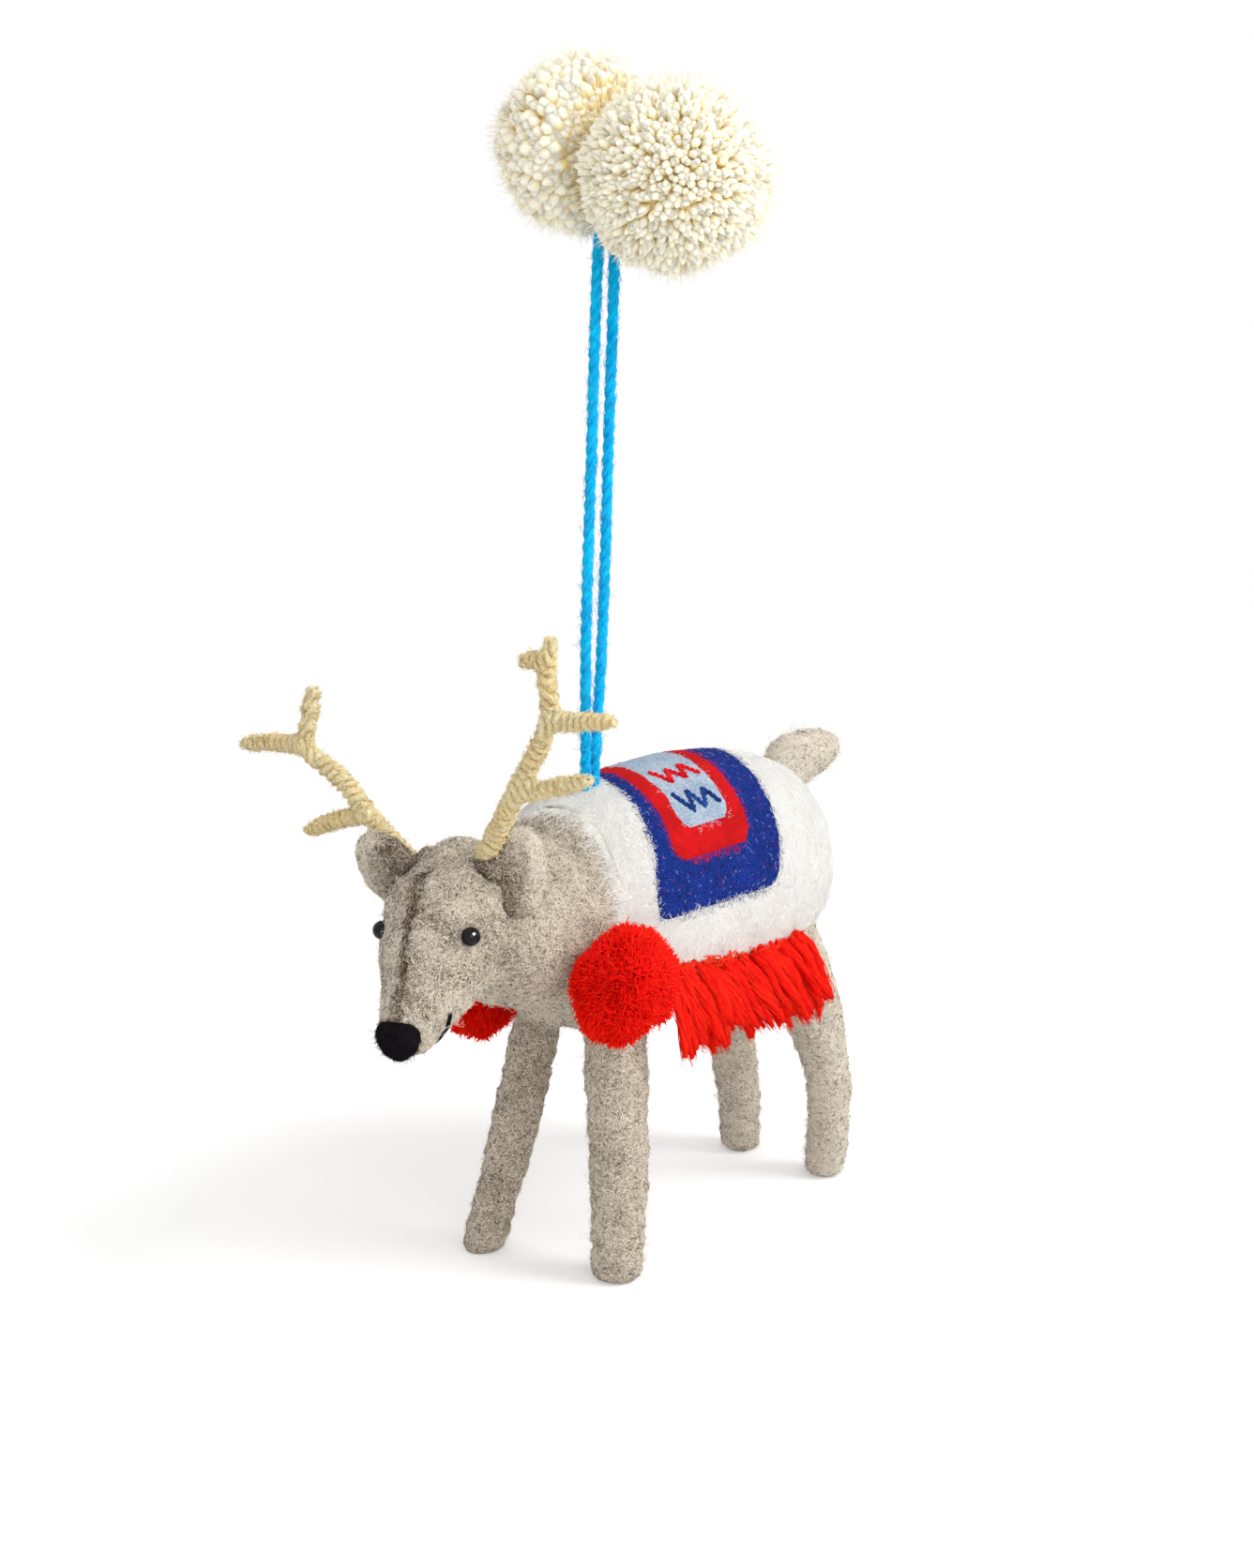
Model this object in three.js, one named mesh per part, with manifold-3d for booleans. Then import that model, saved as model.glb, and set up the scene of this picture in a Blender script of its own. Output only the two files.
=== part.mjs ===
// A needle-felted reindeer ornament in a saddle blanket, hung from a yarn loop with two pompoms.
// Millimetres, +Z up. The reindeer faces -Y and its left side is +X.
// The origin is the centre of the knot that closes the hanging loop.

import * as THREE from "three";
import { mergeVertices } from "three/addons/utils/BufferGeometryUtils.js";
import Module from "manifold-3d";

const wasm = await Module();
wasm.setup();

// Fits
const CLEARANCE = 0.3;

// Torso, in the reindeer's own frame, whose floor is under its soles
const TORSO_LENGTH = 74;
const TORSO_WIDTH = 37;
const TORSO_HEIGHT = 42;
const TORSO_CENTRE_Y = 19;
const TORSO_CENTRE_Z = 61.5;
const TORSO_FRONT = TORSO_CENTRE_Y - TORSO_LENGTH / 2;
const TORSO_REAR = TORSO_CENTRE_Y + TORSO_LENGTH / 2;
const CHEST_BLUNTNESS = 4;
const RUMP_BLUNTNESS = 2.3;

// Neck
const NECK_WIDTH = 35;
const NECK_LENGTH = 34;
const NECK_HEIGHT = 27;
const NECK_CENTRE_Y = -20;
const NECK_CENTRE_Z = 63.4;

// Head, in a frame of its own that is turned and lowered
const HEAD_PLACE = new THREE.Vector3(0.3, -37.3, 65.9);
const HEAD_YAW = 18.7;
const HEAD_PITCH = 34.2;
const HEAD_ROLL = -6.8;
const HEAD_LENGTH = 39;
const HEAD_BACK = 16;
const SKULL_WIDTH = 22;
const SKULL_HEIGHT = 22;
const MUZZLE_WIDTH = 12;
const MUZZLE_HEIGHT = 11.4;
const MUZZLE_DROP = 2;
const HEAD_BLUNTNESS = 3;
const MUZZLE_START_SHARE = 0.35;
const MUZZLE_END_SHARE = 0.9;
const EYE_DIAMETER = 3.4;
const EYE_FORWARD = 4.1;
const EYE_ANGLE = 58;
const EYE_PROUD = 0.3;
const NOSE_WIDTH = 8.6;
const NOSE_HEIGHT = 7.4;
const NOSE_LENGTH = 8;
const NOSE_PROUD = 2;
const MOUTH_DIAMETER = 0.9;
const MOUTH_FORWARD = 18;
const MOUTH_CORNER_FORWARD = 15;
const MOUTH_CORNER_ANGLE = 108;

// Ears
const EAR_LENGTH = 18;
const EAR_WIDTH = 12;
const EAR_THICKNESS = 4.2;
const EAR_CUP_DEPTH = 2;
const EAR_CUP_WIDTH = 7;
const EAR_CUP_LENGTH = 12.4;
const EAR_CUP_RISE = 1.6;
const EAR_RISE = 2;
const EAR_BACK = 7;
const EAR_ANGLE = 70;
const EAR_TILT = 14;
const LEFT_EAR_LEAN = 45;
const LEFT_EAR_TURN = 24;
const RIGHT_EAR_LEAN = 8;
const RIGHT_EAR_TURN = 0;

// Antlers, in the head's frame
const ANTLER_BASE_DIAMETER = 3.8;
const ANTLER_TIP_DIAMETER = 3;
const TINE_BASE_DIAMETER = 3.3;
const TINE_TIP_DIAMETER = 2.4;
const ANTLER_TIP_ROUNDING = 0.6;
const ANTLER_BEAM_START = 2;
const LEFT_ANTLER_BACK = 10;
const LEFT_ANTLER_ANGLE = 40;
const RIGHT_ANTLER_BACK = 8.4;
const RIGHT_ANTLER_ANGLE = 43;
const LEFT_BROW_FORK = [15.7, 12.9, 20.8];
const LEFT_UPPER_FORK = [24.1, 18.6, 32.5];
const LEFT_TOP = [25.4, 26.3, 43.8];
const LEFT_BEAM = [LEFT_BROW_FORK, [20.3, 15.8, 26.9], LEFT_UPPER_FORK, [24.2, 23.4, 39.6], LEFT_TOP];
const LEFT_BROW_TINE = [LEFT_BROW_FORK, [24, 12.6, 23.5], [31.8, 11.9, 26.5]];
const LEFT_FORK_TINE = [LEFT_UPPER_FORK, [30.8, 17.7, 33.8], [37.7, 16.4, 35.6]];
const LEFT_SPUR_TINE = [[24.3, 24.2, 40.6], [21.8, 24.8, 40.2], [18.9, 25.1, 39.3]];
const RIGHT_BROW_FORK = [-15.9, 14.3, 12.1];
const RIGHT_UPPER_FORK = [-29.5, 23.3, 18.4];
const RIGHT_TOP = [-26.4, 28.7, 27.2];
const RIGHT_BEAM = [RIGHT_BROW_FORK, [-21.2, 18.7, 15.7], RIGHT_UPPER_FORK, [-27.9, 26, 22.8], RIGHT_TOP];
const RIGHT_BROW_TINE = [RIGHT_BROW_FORK, [-23, 14.9, 9.6], [-30.7, 14.8, 6.1]];
const RIGHT_FORK_TINE = [RIGHT_UPPER_FORK, [-36.5, 24.8, 17.2], [-44.5, 25.9, 15.2]];

// Legs, each a path from its sole to inside the torso
const FRONT_LEFT_LEG = [[14.5, -8.7, -2], [14.7, -9, 20], [12.6, -8, 41], [9, -3, 60]];
const FRONT_RIGHT_LEG = [[-11, -16.4, -2], [-9.5, -10, 19], [-9, -4.6, 38], [-8, 1, 60]];
const HIND_LEFT_LEG = [[9.3, 54.8, -2], [11.8, 52.3, 18], [11.2, 47, 35], [9, 36, 60]];
const HIND_RIGHT_LEG = [[-9.8, 54, -2], [-9.4, 52, 14], [-9.6, 47, 33], [-9, 36, 60]];
const FRONT_LEFT_LEG_DIAMETER = 9.8;
const FRONT_RIGHT_LEG_DIAMETER = 7.8;
const HIND_LEG_DIAMETER = 8;
const FRONT_THIGH_SWELL = 1.08;
const HIND_THIGH_SWELL = 1.4;
const THIGH_START_SHARE = 0.35;
const THIGH_END_SHARE = 0.7;
const ANKLE_WAIST = 0.1;
const ANKLE_SHARE = 0.3;
const TOE_ROUNDING = 0.86;

// Wire cores
const WIRE_DIAMETER = 1.4;
const WIRE_ABOVE_SOLE = 7;
const LEG_WIRE_RISE = 54;
const ANTLER_WIRE_DEPTH = 6;
const NECK_WIRE_REACH = 5;
const NECK_WIRE_RISE = 3;

// Tail
const TAIL_PATH = [[0, 44, 74], [0, 50, 76.6], [0, 58, 78.2], [0, 65, 78.4]];
const TAIL_DIAMETER = 9.4;
const TAIL_ROOT_SHARE = 0.12;
const TAIL_TIP_SHARE = 0.92;
const TAIL_FULLNESS = 0.7;

// Saddle blanket and the felt panels let into it, measured around the torso from the spine
const BLANKET_THICKNESS = 1.4;
const BLANKET_FRONT_MARGIN = 10;
const BLANKET_FRONT_SWEEP = 6;
const BLANKET_REAR_MARGIN = 9;
const BLANKET_FRONT = TORSO_FRONT + BLANKET_FRONT_MARGIN;
const BLANKET_REAR = TORSO_REAR - BLANKET_REAR_MARGIN;
const BLANKET_REACH = 103;
const HEM_DROP = 15;
const BLUE_FRONT = 1.8;
const BLUE_FRONT_SWEEP = 3;
const BLUE_REAR = 33;
const PANEL_TAPER = 2;
const PANEL_SKEW = 5;
const BLUE_REACH = 82;
const RED_MARGIN = 3;
const RED_REAR_MARGIN = 7.5;
const RED_REACH = 60;
const LIGHT_BLUE_MARGIN = 3.5;
const LIGHT_BLUE_REACH = 47;
const ZIGZAG_WIDTH = 1.2;
const ZIGZAG_THICKNESS = 0.7;
const ZIGZAG_TURNS = 5;
const ZIGZAG_SWING = 3.2;
const RED_ZIGZAG_ANGLE = 15;
const NAVY_ZIGZAG_ANGLE = 33;
const FAR_RED_ZIGZAG_ANGLE = 30;
const FAR_NAVY_ZIGZAG_ANGLE = 40.5;
const ZIGZAG_INSET = 2.2;

// Fringe along the lower edge
const FRINGE_LENGTH = 12.6;
const FRINGE_NOTCH = 4;
const FRINGE_FLARE = 6.4;
const FRINGE_PITCH = 3;
const LEFT_FRINGE_MARGIN = 5;
const RIGHT_FRINGE_MARGIN = 19;
const FRINGE_REAR_MARGIN = 8;
const LEFT_FRINGE_FRONT = BLANKET_FRONT + LEFT_FRINGE_MARGIN;
const RIGHT_FRINGE_FRONT = BLANKET_FRONT + RIGHT_FRINGE_MARGIN;
const FRINGE_REAR = BLANKET_REAR - FRINGE_REAR_MARGIN;

// Red pompoms at the blanket's front corners
const RED_POMPOM_DIAMETER = 21;
const RED_POMPOM_DEPTH = 14;
const RED_TIE_DIAMETER = 1.2;
const LEFT_RED_TIE_MARGIN = 5;
const LEFT_RED_TIE_Y = TORSO_FRONT + LEFT_RED_TIE_MARGIN;
const LEFT_RED_TIE_ANGLE = 80;
const RIGHT_RED_TIE_MARGIN = 14;
const RIGHT_RED_TIE_Y = TORSO_FRONT + RIGHT_RED_TIE_MARGIN;
const RIGHT_RED_TIE_ANGLE = 96;
const LEFT_RED_POMPOM_HANG = new THREE.Vector3(7.1, -4.8, -7.5);
const RIGHT_RED_POMPOM_HANG = new THREE.Vector3(3, 2.5, -15.4);

// Hanging loop and its two cream pompoms
const YARN_DIAMETER = 1.9;
const CORD_BASE_Y = -1.9;
const LOOP_LENGTH = 112;
const LOOP_LEAN = 2.1;
const STRAND_BASE_SPREAD = 1.15;
const STRAND_MIDDLE_SPREAD = 2.1;
const STRAND_TOP_SPREAD = 1.3;
const STRAND_FOOT = 6;
const STRAND_LOWER_SHARE = 0.3;
const STRAND_UPPER_SHARE = 0.6;
const STRAND_GATHER = 16;
const STRAND_NECK = 3;
const TOP_KNOT_DIAMETER = 5.4;
const BASE_KNOT_DIAMETER = 6.8;
const BASE_KNOT_ROOF = 0.9;
const CORD_HOLE_DIAMETER = 5.6;
const CORD_HOLE_FLARE = 11;
const CORD_HOLE_RISE = 10;
const LEFT_CREAM_POMPOM_DIAMETER = 33;
const RIGHT_CREAM_POMPOM_DIAMETER = 31;
const CREAM_POMPOM_GAP = 3;
const LEFT_CREAM_POMPOM_PLACE = new THREE.Vector3(14.6, 0, -1.2);
const RIGHT_CREAM_POMPOM_PLACE = new THREE.Vector3(-5, 0, 2);
const CREAM_TIE_DIAMETER = 1.2;
const CREAM_TIE_LENGTH = 8;
const DISH_SHOULDER_SHARE = 0.8;
const DISH_SHOULDER_DEPTH = 0.6;

// Fineness of the soft forms
const TORSO_SIDES = 22;
const TORSO_RINGS = 14;
const HEAD_SIDES = 16;
const HEAD_RINGS = 12;
const LEG_SIDES = 10;
const LEG_RINGS = 10;
const ANTLER_SIDES = 8;
const BALL_SIDES = 16;
const SMALL_BALL_SIDES = 10;
const WIRE_SIDES = 6;
const CORD_SIDES = 8;
const BLANKET_ROWS = 11;
const BLANKET_COLUMNS = 18;
const PANEL_ROWS = 6;
const PANEL_COLUMNS = 12;
const STRAND_STEPS = 18;
const WIRE_STEPS = 8;
const ANTLER_STEPS = 14;
const ANTLER_WIRE_STEPS = 12;
const TINE_STEPS = 6;
const TAIL_STEPS = 9;
const MOUTH_STEPS = 16;
const TIE_STEPS = 4;

const radians = THREE.MathUtils.degToRad;
const point = (triple) => new THREE.Vector3(...triple);

// Materials
function felt(colour) {
  return new THREE.MeshStandardMaterial({ color: colour, roughness: 0.95, metalness: 0 });
}

const greyFelt = felt(0xaaa091);
const blackFelt = felt(0x1b1b20);
const antlerYarn = felt(0xd6b87a);
const whiteFelt = felt(0xf0eee4);
const blueFelt = felt(0x1c3690);
const redFelt = felt(0xe01a20);
const lightBlueFelt = felt(0xa5c3e1);
const navyThread = felt(0x1b2f66);
const redYarn = felt(0xf02408);
const cordYarn = felt(0x0091dc);
const creamYarn = felt(0xfaf0d7);
const bead = new THREE.MeshStandardMaterial({ color: 0x050506, roughness: 0.08, metalness: 0 });
const steelWire = new THREE.MeshStandardMaterial({ color: 0x8d9096, roughness: 0.4, metalness: 1 });

// Closed skins

// A skin over rings of points, each ring turning right-handed about the way that the rings go.
function loft(rings, startPoint, endPoint) {
  const sides = rings[0].length;
  const points = rings.flat();
  const start = points.push(startPoint) - 1;
  const end = points.push(endPoint) - 1;
  const last = (rings.length - 1) * sides;
  const indices = [];
  for (let side = 0; side < sides; side += 1) {
    const next = (side + 1) % sides;
    for (let ring = 0; ring < rings.length - 1; ring += 1) {
      const here = ring * sides;
      const there = here + sides;
      indices.push(here + side, here + next, there + next);
      indices.push(here + side, there + next, there + side);
    }
    indices.push(start, next, side);
    indices.push(end, last + side, last + next);
  }
  return new THREE.BufferGeometry().setFromPoints(points).setIndex(indices);
}

// A thin sheet between an outer and an inner face, both given as rows of points.
function sheet(outerRows, innerRows) {
  const columns = outerRows[0].length;
  const sides = 2 * columns;
  const rings = outerRows.map((row, index) => [...row, ...innerRows[index].slice().reverse()]);
  const last = (rings.length - 1) * sides;
  const indices = [];
  for (let ring = 0; ring < rings.length - 1; ring += 1) {
    for (let side = 0; side < sides; side += 1) {
      const next = (side + 1) % sides;
      const here = ring * sides;
      const there = here + sides;
      indices.push(here + side, here + next, there + next);
      indices.push(here + side, there + next, there + side);
    }
  }
  for (let column = 0; column < columns - 1; column += 1) {
    const inner = sides - 1 - column;
    indices.push(column, inner, column + 1);
    indices.push(column + 1, inner, inner - 1);
    indices.push(last + column, last + column + 1, last + inner);
    indices.push(last + column + 1, last + inner - 1, last + inner);
  }
  return new THREE.BufferGeometry().setFromPoints(rings.flat()).setIndex(indices);
}

// A round limb along a path, with its radius given along the way from 0 to 1.
function limb(path, steps, sides, radiusAt) {
  const frames = path.computeFrenetFrames(steps, false);
  const rings = [];
  for (let step = 0; step <= steps; step += 1) {
    const centre = path.getPointAt(step / steps);
    const radius = radiusAt(step / steps);
    const ring = [];
    for (let side = 0; side < sides; side += 1) {
      const turn = (2 * Math.PI * side) / sides;
      const spoke = frames.normals[step].clone().multiplyScalar(radius * Math.cos(turn));
      spoke.addScaledVector(frames.binormals[step], radius * Math.sin(turn));
      ring.push(spoke.add(centre));
    }
    rings.push(ring);
  }
  return loft(rings, path.getPointAt(0), path.getPointAt(1));
}

// A plain tube along a path.
function tube(path, diameter, sides, steps) {
  const corners = [];
  for (let side = 0; side < sides; side += 1) {
    const turn = (2 * Math.PI * side) / sides;
    corners.push(new THREE.Vector2(Math.cos(turn), Math.sin(turn)).multiplyScalar(diameter / 2));
  }
  const section = new THREE.Shape(corners);
  return new THREE.ExtrudeGeometry(section, { steps, bevelEnabled: false, extrudePath: path });
}

function ball(diameter, sides) {
  return new THREE.SphereGeometry(diameter / 2, sides, sides / 2);
}

function ellipsoid(width, length, height, sides) {
  return ball(1, sides).scale(width, length, height);
}

// Solids, cut with one another

function toSolid(geometry) {
  const bare = geometry.clone();
  bare.deleteAttribute("normal");
  bare.deleteAttribute("uv");
  const merged = mergeVertices(bare, 1e-4);
  const vertProperties = new Float32Array(merged.attributes.position.array);
  const triVerts = new Uint32Array(merged.index.array);
  return new wasm.Manifold(new wasm.Mesh({ numProp: 3, vertProperties, triVerts }));
}

function toGeometry(solid) {
  const mesh = solid.getMesh();
  const geometry = new THREE.BufferGeometry();
  geometry.setAttribute("position", new THREE.BufferAttribute(new Float32Array(mesh.vertProperties), 3));
  geometry.setIndex(Array.from(mesh.triVerts));
  return geometry;
}

function cut(geometry, ...tools) {
  const whole = toSolid(geometry);
  return toGeometry(tools.reduce((solid, tool) => solid.subtract(toSolid(tool)), whole));
}

function mirrored(geometry) {
  const copy = geometry.clone().scale(-1, 1, 1);
  copy.setIndex(Array.from(copy.index.array).reverse());
  return copy;
}

function place(geometry, position) {
  return geometry.clone().translate(position.x, position.y, position.z);
}

// The stretch of a path between two distances along it.
function stretch(path, from, to) {
  const length = path.getLength();
  const count = 8;
  const points = [];
  for (let index = 0; index <= count; index += 1) {
    const distance = from + ((to - from) * index) / count;
    points.push(path.getPointAt(THREE.MathUtils.clamp(distance / length, 0, 1)));
  }
  return new THREE.CatmullRomCurve3(points);
}

function smooth(points) {
  return new THREE.CatmullRomCurve3(points.map((each) => (each.isVector3 ? each : point(each))));
}

// Torso surface: a place along Y, an angle from the spine towards the left, and a height off the felt

function torsoFullness(y) {
  const along = (y - TORSO_CENTRE_Y) / (TORSO_LENGTH / 2);
  const bluntness = along < 0 ? CHEST_BLUNTNESS : RUMP_BLUNTNESS;
  return (1 - Math.abs(along) ** bluntness) ** (1 / bluntness);
}

function torsoSkin(y, angle) {
  const fullness = torsoFullness(y);
  const x = (TORSO_WIDTH / 2) * fullness * Math.sin(radians(angle));
  const z = TORSO_CENTRE_Z + (TORSO_HEIGHT / 2) * fullness * Math.cos(radians(angle));
  return new THREE.Vector3(x, y, z);
}

function torsoPoint(y, angle, height) {
  const nudge = 0.01;
  const along = torsoSkin(y + nudge, angle).sub(torsoSkin(y - nudge, angle));
  const around = torsoSkin(y, angle + nudge).sub(torsoSkin(y, angle - nudge));
  const outward = around.cross(along).normalize();
  return torsoSkin(y, angle).addScaledVector(outward, height);
}

function torsoForm(growth) {
  const rings = [];
  for (let ring = 1; ring < TORSO_RINGS; ring += 1) {
    const sweep = Math.sin(Math.PI * (ring / TORSO_RINGS - 0.5));
    const y = TORSO_CENTRE_Y + (TORSO_LENGTH / 2) * sweep;
    const turns = Array.from({ length: TORSO_SIDES }, (_, side) => (360 * side) / TORSO_SIDES);
    rings.push(turns.map((angle) => torsoPoint(y, angle, growth)));
  }
  const front = new THREE.Vector3(0, TORSO_FRONT - growth, TORSO_CENTRE_Z);
  const rear = new THREE.Vector3(0, TORSO_REAR + growth, TORSO_CENTRE_Z);
  return loft(rings, front, rear);
}

// A felt sheet that lies on the torso, between two heights off it. Its reach is given from front to rear.
function drape(front, rear, reachAt, low, high, rows, columns) {
  const face = (height) => {
    const lines = [];
    for (let row = 0; row <= rows; row += 1) {
      const line = [];
      for (let column = 0; column <= columns; column += 1) {
        const share = (1 - Math.cos((Math.PI * row) / rows)) / 2;
        const angle = reachAt(share) * ((2 * column) / columns - 1);
        const y = THREE.MathUtils.lerp(front(angle), rear(angle), share);
        line.push(torsoPoint(y, angle, height));
      }
      lines.push(line);
    }
    return lines;
  };
  return sheet(face(high), face(low));
}

// An edge that moves towards the head by a sweep as it goes from the spine to a side.
function sweptEdge(atSpine, sweep, reach) {
  return (angle) => atSpine - sweep * Math.min(Math.abs(angle) / reach, 1) ** 2;
}

// Head surface: a distance forward of the head's centre, an angle from its top, and a height off it

function headHalfSizes(forward) {
  const share = (HEAD_BACK + forward) / HEAD_LENGTH;
  const end = (1 - Math.abs(2 * share - 1) ** HEAD_BLUNTNESS) ** (1 / HEAD_BLUNTNESS);
  const muzzle = THREE.MathUtils.smoothstep(share, MUZZLE_START_SHARE, MUZZLE_END_SHARE);
  const width = (THREE.MathUtils.lerp(SKULL_WIDTH, MUZZLE_WIDTH, muzzle) / 2) * end;
  const height = (THREE.MathUtils.lerp(SKULL_HEIGHT, MUZZLE_HEIGHT, muzzle) / 2) * end;
  return { width, height, drop: MUZZLE_DROP * muzzle };
}

function headSkin(forward, angle) {
  const { width, height, drop } = headHalfSizes(forward);
  const x = width * Math.sin(radians(angle));
  const z = height * Math.cos(radians(angle)) - drop;
  return new THREE.Vector3(x, -forward, z);
}

function headPoint(forward, angle, rise) {
  const nudge = 0.01;
  const along = headSkin(forward - nudge, angle).sub(headSkin(forward + nudge, angle));
  const around = headSkin(forward, angle + nudge).sub(headSkin(forward, angle - nudge));
  const outward = around.cross(along).normalize();
  return headSkin(forward, angle).addScaledVector(outward, rise);
}

function headForm(growth) {
  const rings = [];
  for (let ring = 1; ring < HEAD_RINGS; ring += 1) {
    const share = 0.5 + 0.5 * Math.sin(Math.PI * (ring / HEAD_RINGS - 0.5));
    const forward = HEAD_LENGTH * (1 - share) - HEAD_BACK;
    const turns = Array.from({ length: HEAD_SIDES }, (_, side) => (360 * side) / HEAD_SIDES);
    rings.push(turns.map((angle) => headPoint(forward, angle, growth)));
  }
  const tip = new THREE.Vector3(0, HEAD_BACK - HEAD_LENGTH - growth, -MUZZLE_DROP);
  const back = new THREE.Vector3(0, HEAD_BACK + growth, 0);
  return loft(rings, tip, back);
}

// Groups: the loop hangs from the origin, the reindeer's frame stands under it, its head turns in that

const ornament = new THREE.Group();
const reindeer = new THREE.Group();
const headFrame = new THREE.Group();
ornament.add(reindeer);
reindeer.add(headFrame);

const baseKnotPlace = torsoPoint(CORD_BASE_Y, 0, 0);
baseKnotPlace.z -= BASE_KNOT_DIAMETER / 2 + BASE_KNOT_ROOF;
const hangPlace = new THREE.Vector3(0, baseKnotPlace.y + LOOP_LEAN, baseKnotPlace.z + LOOP_LENGTH);
reindeer.position.copy(hangPlace).negate();
headFrame.position.copy(HEAD_PLACE);
headFrame.rotation.set(radians(HEAD_PITCH), radians(HEAD_ROLL), radians(HEAD_YAW), "ZXY");
headFrame.updateMatrix();

function add(group, name, geometry, material) {
  const mesh = new THREE.Mesh(geometry, material);
  mesh.name = name;
  group.add(mesh);
}

// Tools that cut several pieces
const blanketLow = CLEARANCE;
const blanketHigh = blanketLow + BLANKET_THICKNESS;
const degreesPerMillimetre = 360 / (Math.PI * TORSO_WIDTH);
const hemReach = (share) => BLANKET_REACH + HEM_DROP * (1 - (1 - share) ** 3);

function blanketForm(growth) {
  const front = sweptEdge(BLANKET_FRONT - growth, BLANKET_FRONT_SWEEP, BLANKET_REACH);
  const rear = sweptEdge(BLANKET_REAR + growth, 0, BLANKET_REACH);
  const low = blanketLow - growth;
  const high = blanketHigh + growth;
  const reachAt = (share) => hemReach(share) + growth * degreesPerMillimetre;
  return drape(front, rear, reachAt, low, high, BLANKET_ROWS, BLANKET_COLUMNS);
}

const torsoSeat = torsoForm(CLEARANCE);
const headSeat = headForm(CLEARANCE).applyMatrix4(headFrame.matrix);
const neckForm = (growth) => {
  const grown = [NECK_WIDTH, NECK_LENGTH, NECK_HEIGHT].map((size) => size + 2 * growth);
  return ellipsoid(...grown, BALL_SIDES).translate(0, NECK_CENTRE_Y, NECK_CENTRE_Z);
};
const knotPocket = place(ball(BASE_KNOT_DIAMETER + 2 * CLEARANCE, BALL_SIDES), baseKnotPlace);
const holeHeight = BASE_KNOT_DIAMETER + CORD_HOLE_RISE;
const holeWidening = 2 * holeHeight * Math.tan(radians(CORD_HOLE_FLARE));
const cordHole = new THREE.CylinderGeometry(
  (CORD_HOLE_DIAMETER + holeWidening) / 2,
  CORD_HOLE_DIAMETER / 2,
  holeHeight,
  BALL_SIDES,
);
cordHole.rotateX(Math.PI / 2);
cordHole.translate(baseKnotPlace.x, baseKnotPlace.y, baseKnotPlace.z + holeHeight / 2);
const boreDiameter = WIRE_DIAMETER + 2 * CLEARANCE;

// Legs and their wires

const legs = [
  ["front_left_leg", FRONT_LEFT_LEG, FRONT_LEFT_LEG_DIAMETER, FRONT_THIGH_SWELL],
  ["front_right_leg", FRONT_RIGHT_LEG, FRONT_RIGHT_LEG_DIAMETER, FRONT_THIGH_SWELL],
  ["hind_left_leg", HIND_LEFT_LEG, HIND_LEG_DIAMETER, HIND_THIGH_SWELL],
  ["hind_right_leg", HIND_RIGHT_LEG, HIND_LEG_DIAMETER, HIND_THIGH_SWELL],
];
const legBores = [];
const floorSize = 4 * TORSO_LENGTH;
const floor = new THREE.BoxGeometry(floorSize, floorSize, TORSO_HEIGHT).translate(0, 0, -TORSO_HEIGHT / 2);

function legForm(path, diameter, swell) {
  const radiusAt = (share) => {
    const ankle = 1 - ANKLE_WAIST * Math.sin(Math.PI * Math.min(share / ANKLE_SHARE, 1));
    const rise = THREE.MathUtils.smoothstep(share, THIGH_START_SHARE, THIGH_END_SHARE);
    const thigh = THREE.MathUtils.lerp(1, swell, rise);
    const toe = share === 0 ? TOE_ROUNDING : 1;
    return (diameter / 2) * ankle * thigh * toe;
  };
  return limb(path, LEG_RINGS, LEG_SIDES, radiusAt);
}

for (const [name, points, diameter, swell] of legs) {
  const path = smooth(points);
  const wireStart = WIRE_ABOVE_SOLE;
  const wireEnd = wireStart + LEG_WIRE_RISE;
  const wire = tube(stretch(path, wireStart, wireEnd), WIRE_DIAMETER, WIRE_SIDES, WIRE_STEPS);
  const boreRun = stretch(path, wireStart - CLEARANCE, wireEnd + CLEARANCE);
  const bore = tube(boreRun, boreDiameter, WIRE_SIDES, WIRE_STEPS);
  legBores.push(bore);
  const seats = [torsoSeat, neckForm(CLEARANCE), blanketForm(2 * CLEARANCE)];
  const leg = cut(legForm(path, diameter, swell), floor, ...seats, bore);
  add(reindeer, name, leg, greyFelt);
  add(reindeer, `${name}_wire`, wire, steelWire);
}

// Torso, neck and the wire between torso and head

const neckWirePath = new THREE.CatmullRomCurve3([
  new THREE.Vector3(0, TORSO_FRONT + NECK_WIRE_REACH, NECK_CENTRE_Z + NECK_WIRE_RISE),
  new THREE.Vector3(0, (TORSO_FRONT + HEAD_PLACE.y) / 2, NECK_CENTRE_Z + NECK_WIRE_RISE),
  new THREE.Vector3(HEAD_PLACE.x, HEAD_PLACE.y + NECK_WIRE_REACH, HEAD_PLACE.z + NECK_WIRE_RISE),
  new THREE.Vector3(HEAD_PLACE.x, HEAD_PLACE.y, HEAD_PLACE.z + NECK_WIRE_RISE),
]);
const neckWireLength = neckWirePath.getLength() - NECK_WIRE_REACH / 2;
const neckWireRun = stretch(neckWirePath, NECK_WIRE_REACH / 2, neckWireLength);
const neckBore = tube(
  stretch(neckWirePath, NECK_WIRE_REACH / 2 - CLEARANCE, neckWireLength + CLEARANCE),
  boreDiameter,
  WIRE_SIDES,
  WIRE_STEPS,
);
add(reindeer, "torso", cut(torsoForm(0), knotPocket, cordHole, neckBore, ...legBores), greyFelt);
add(reindeer, "neck_wire", tube(neckWireRun, WIRE_DIAMETER, WIRE_SIDES, WIRE_STEPS), steelWire);

// Head with its eyes, nose and mouth

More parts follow.
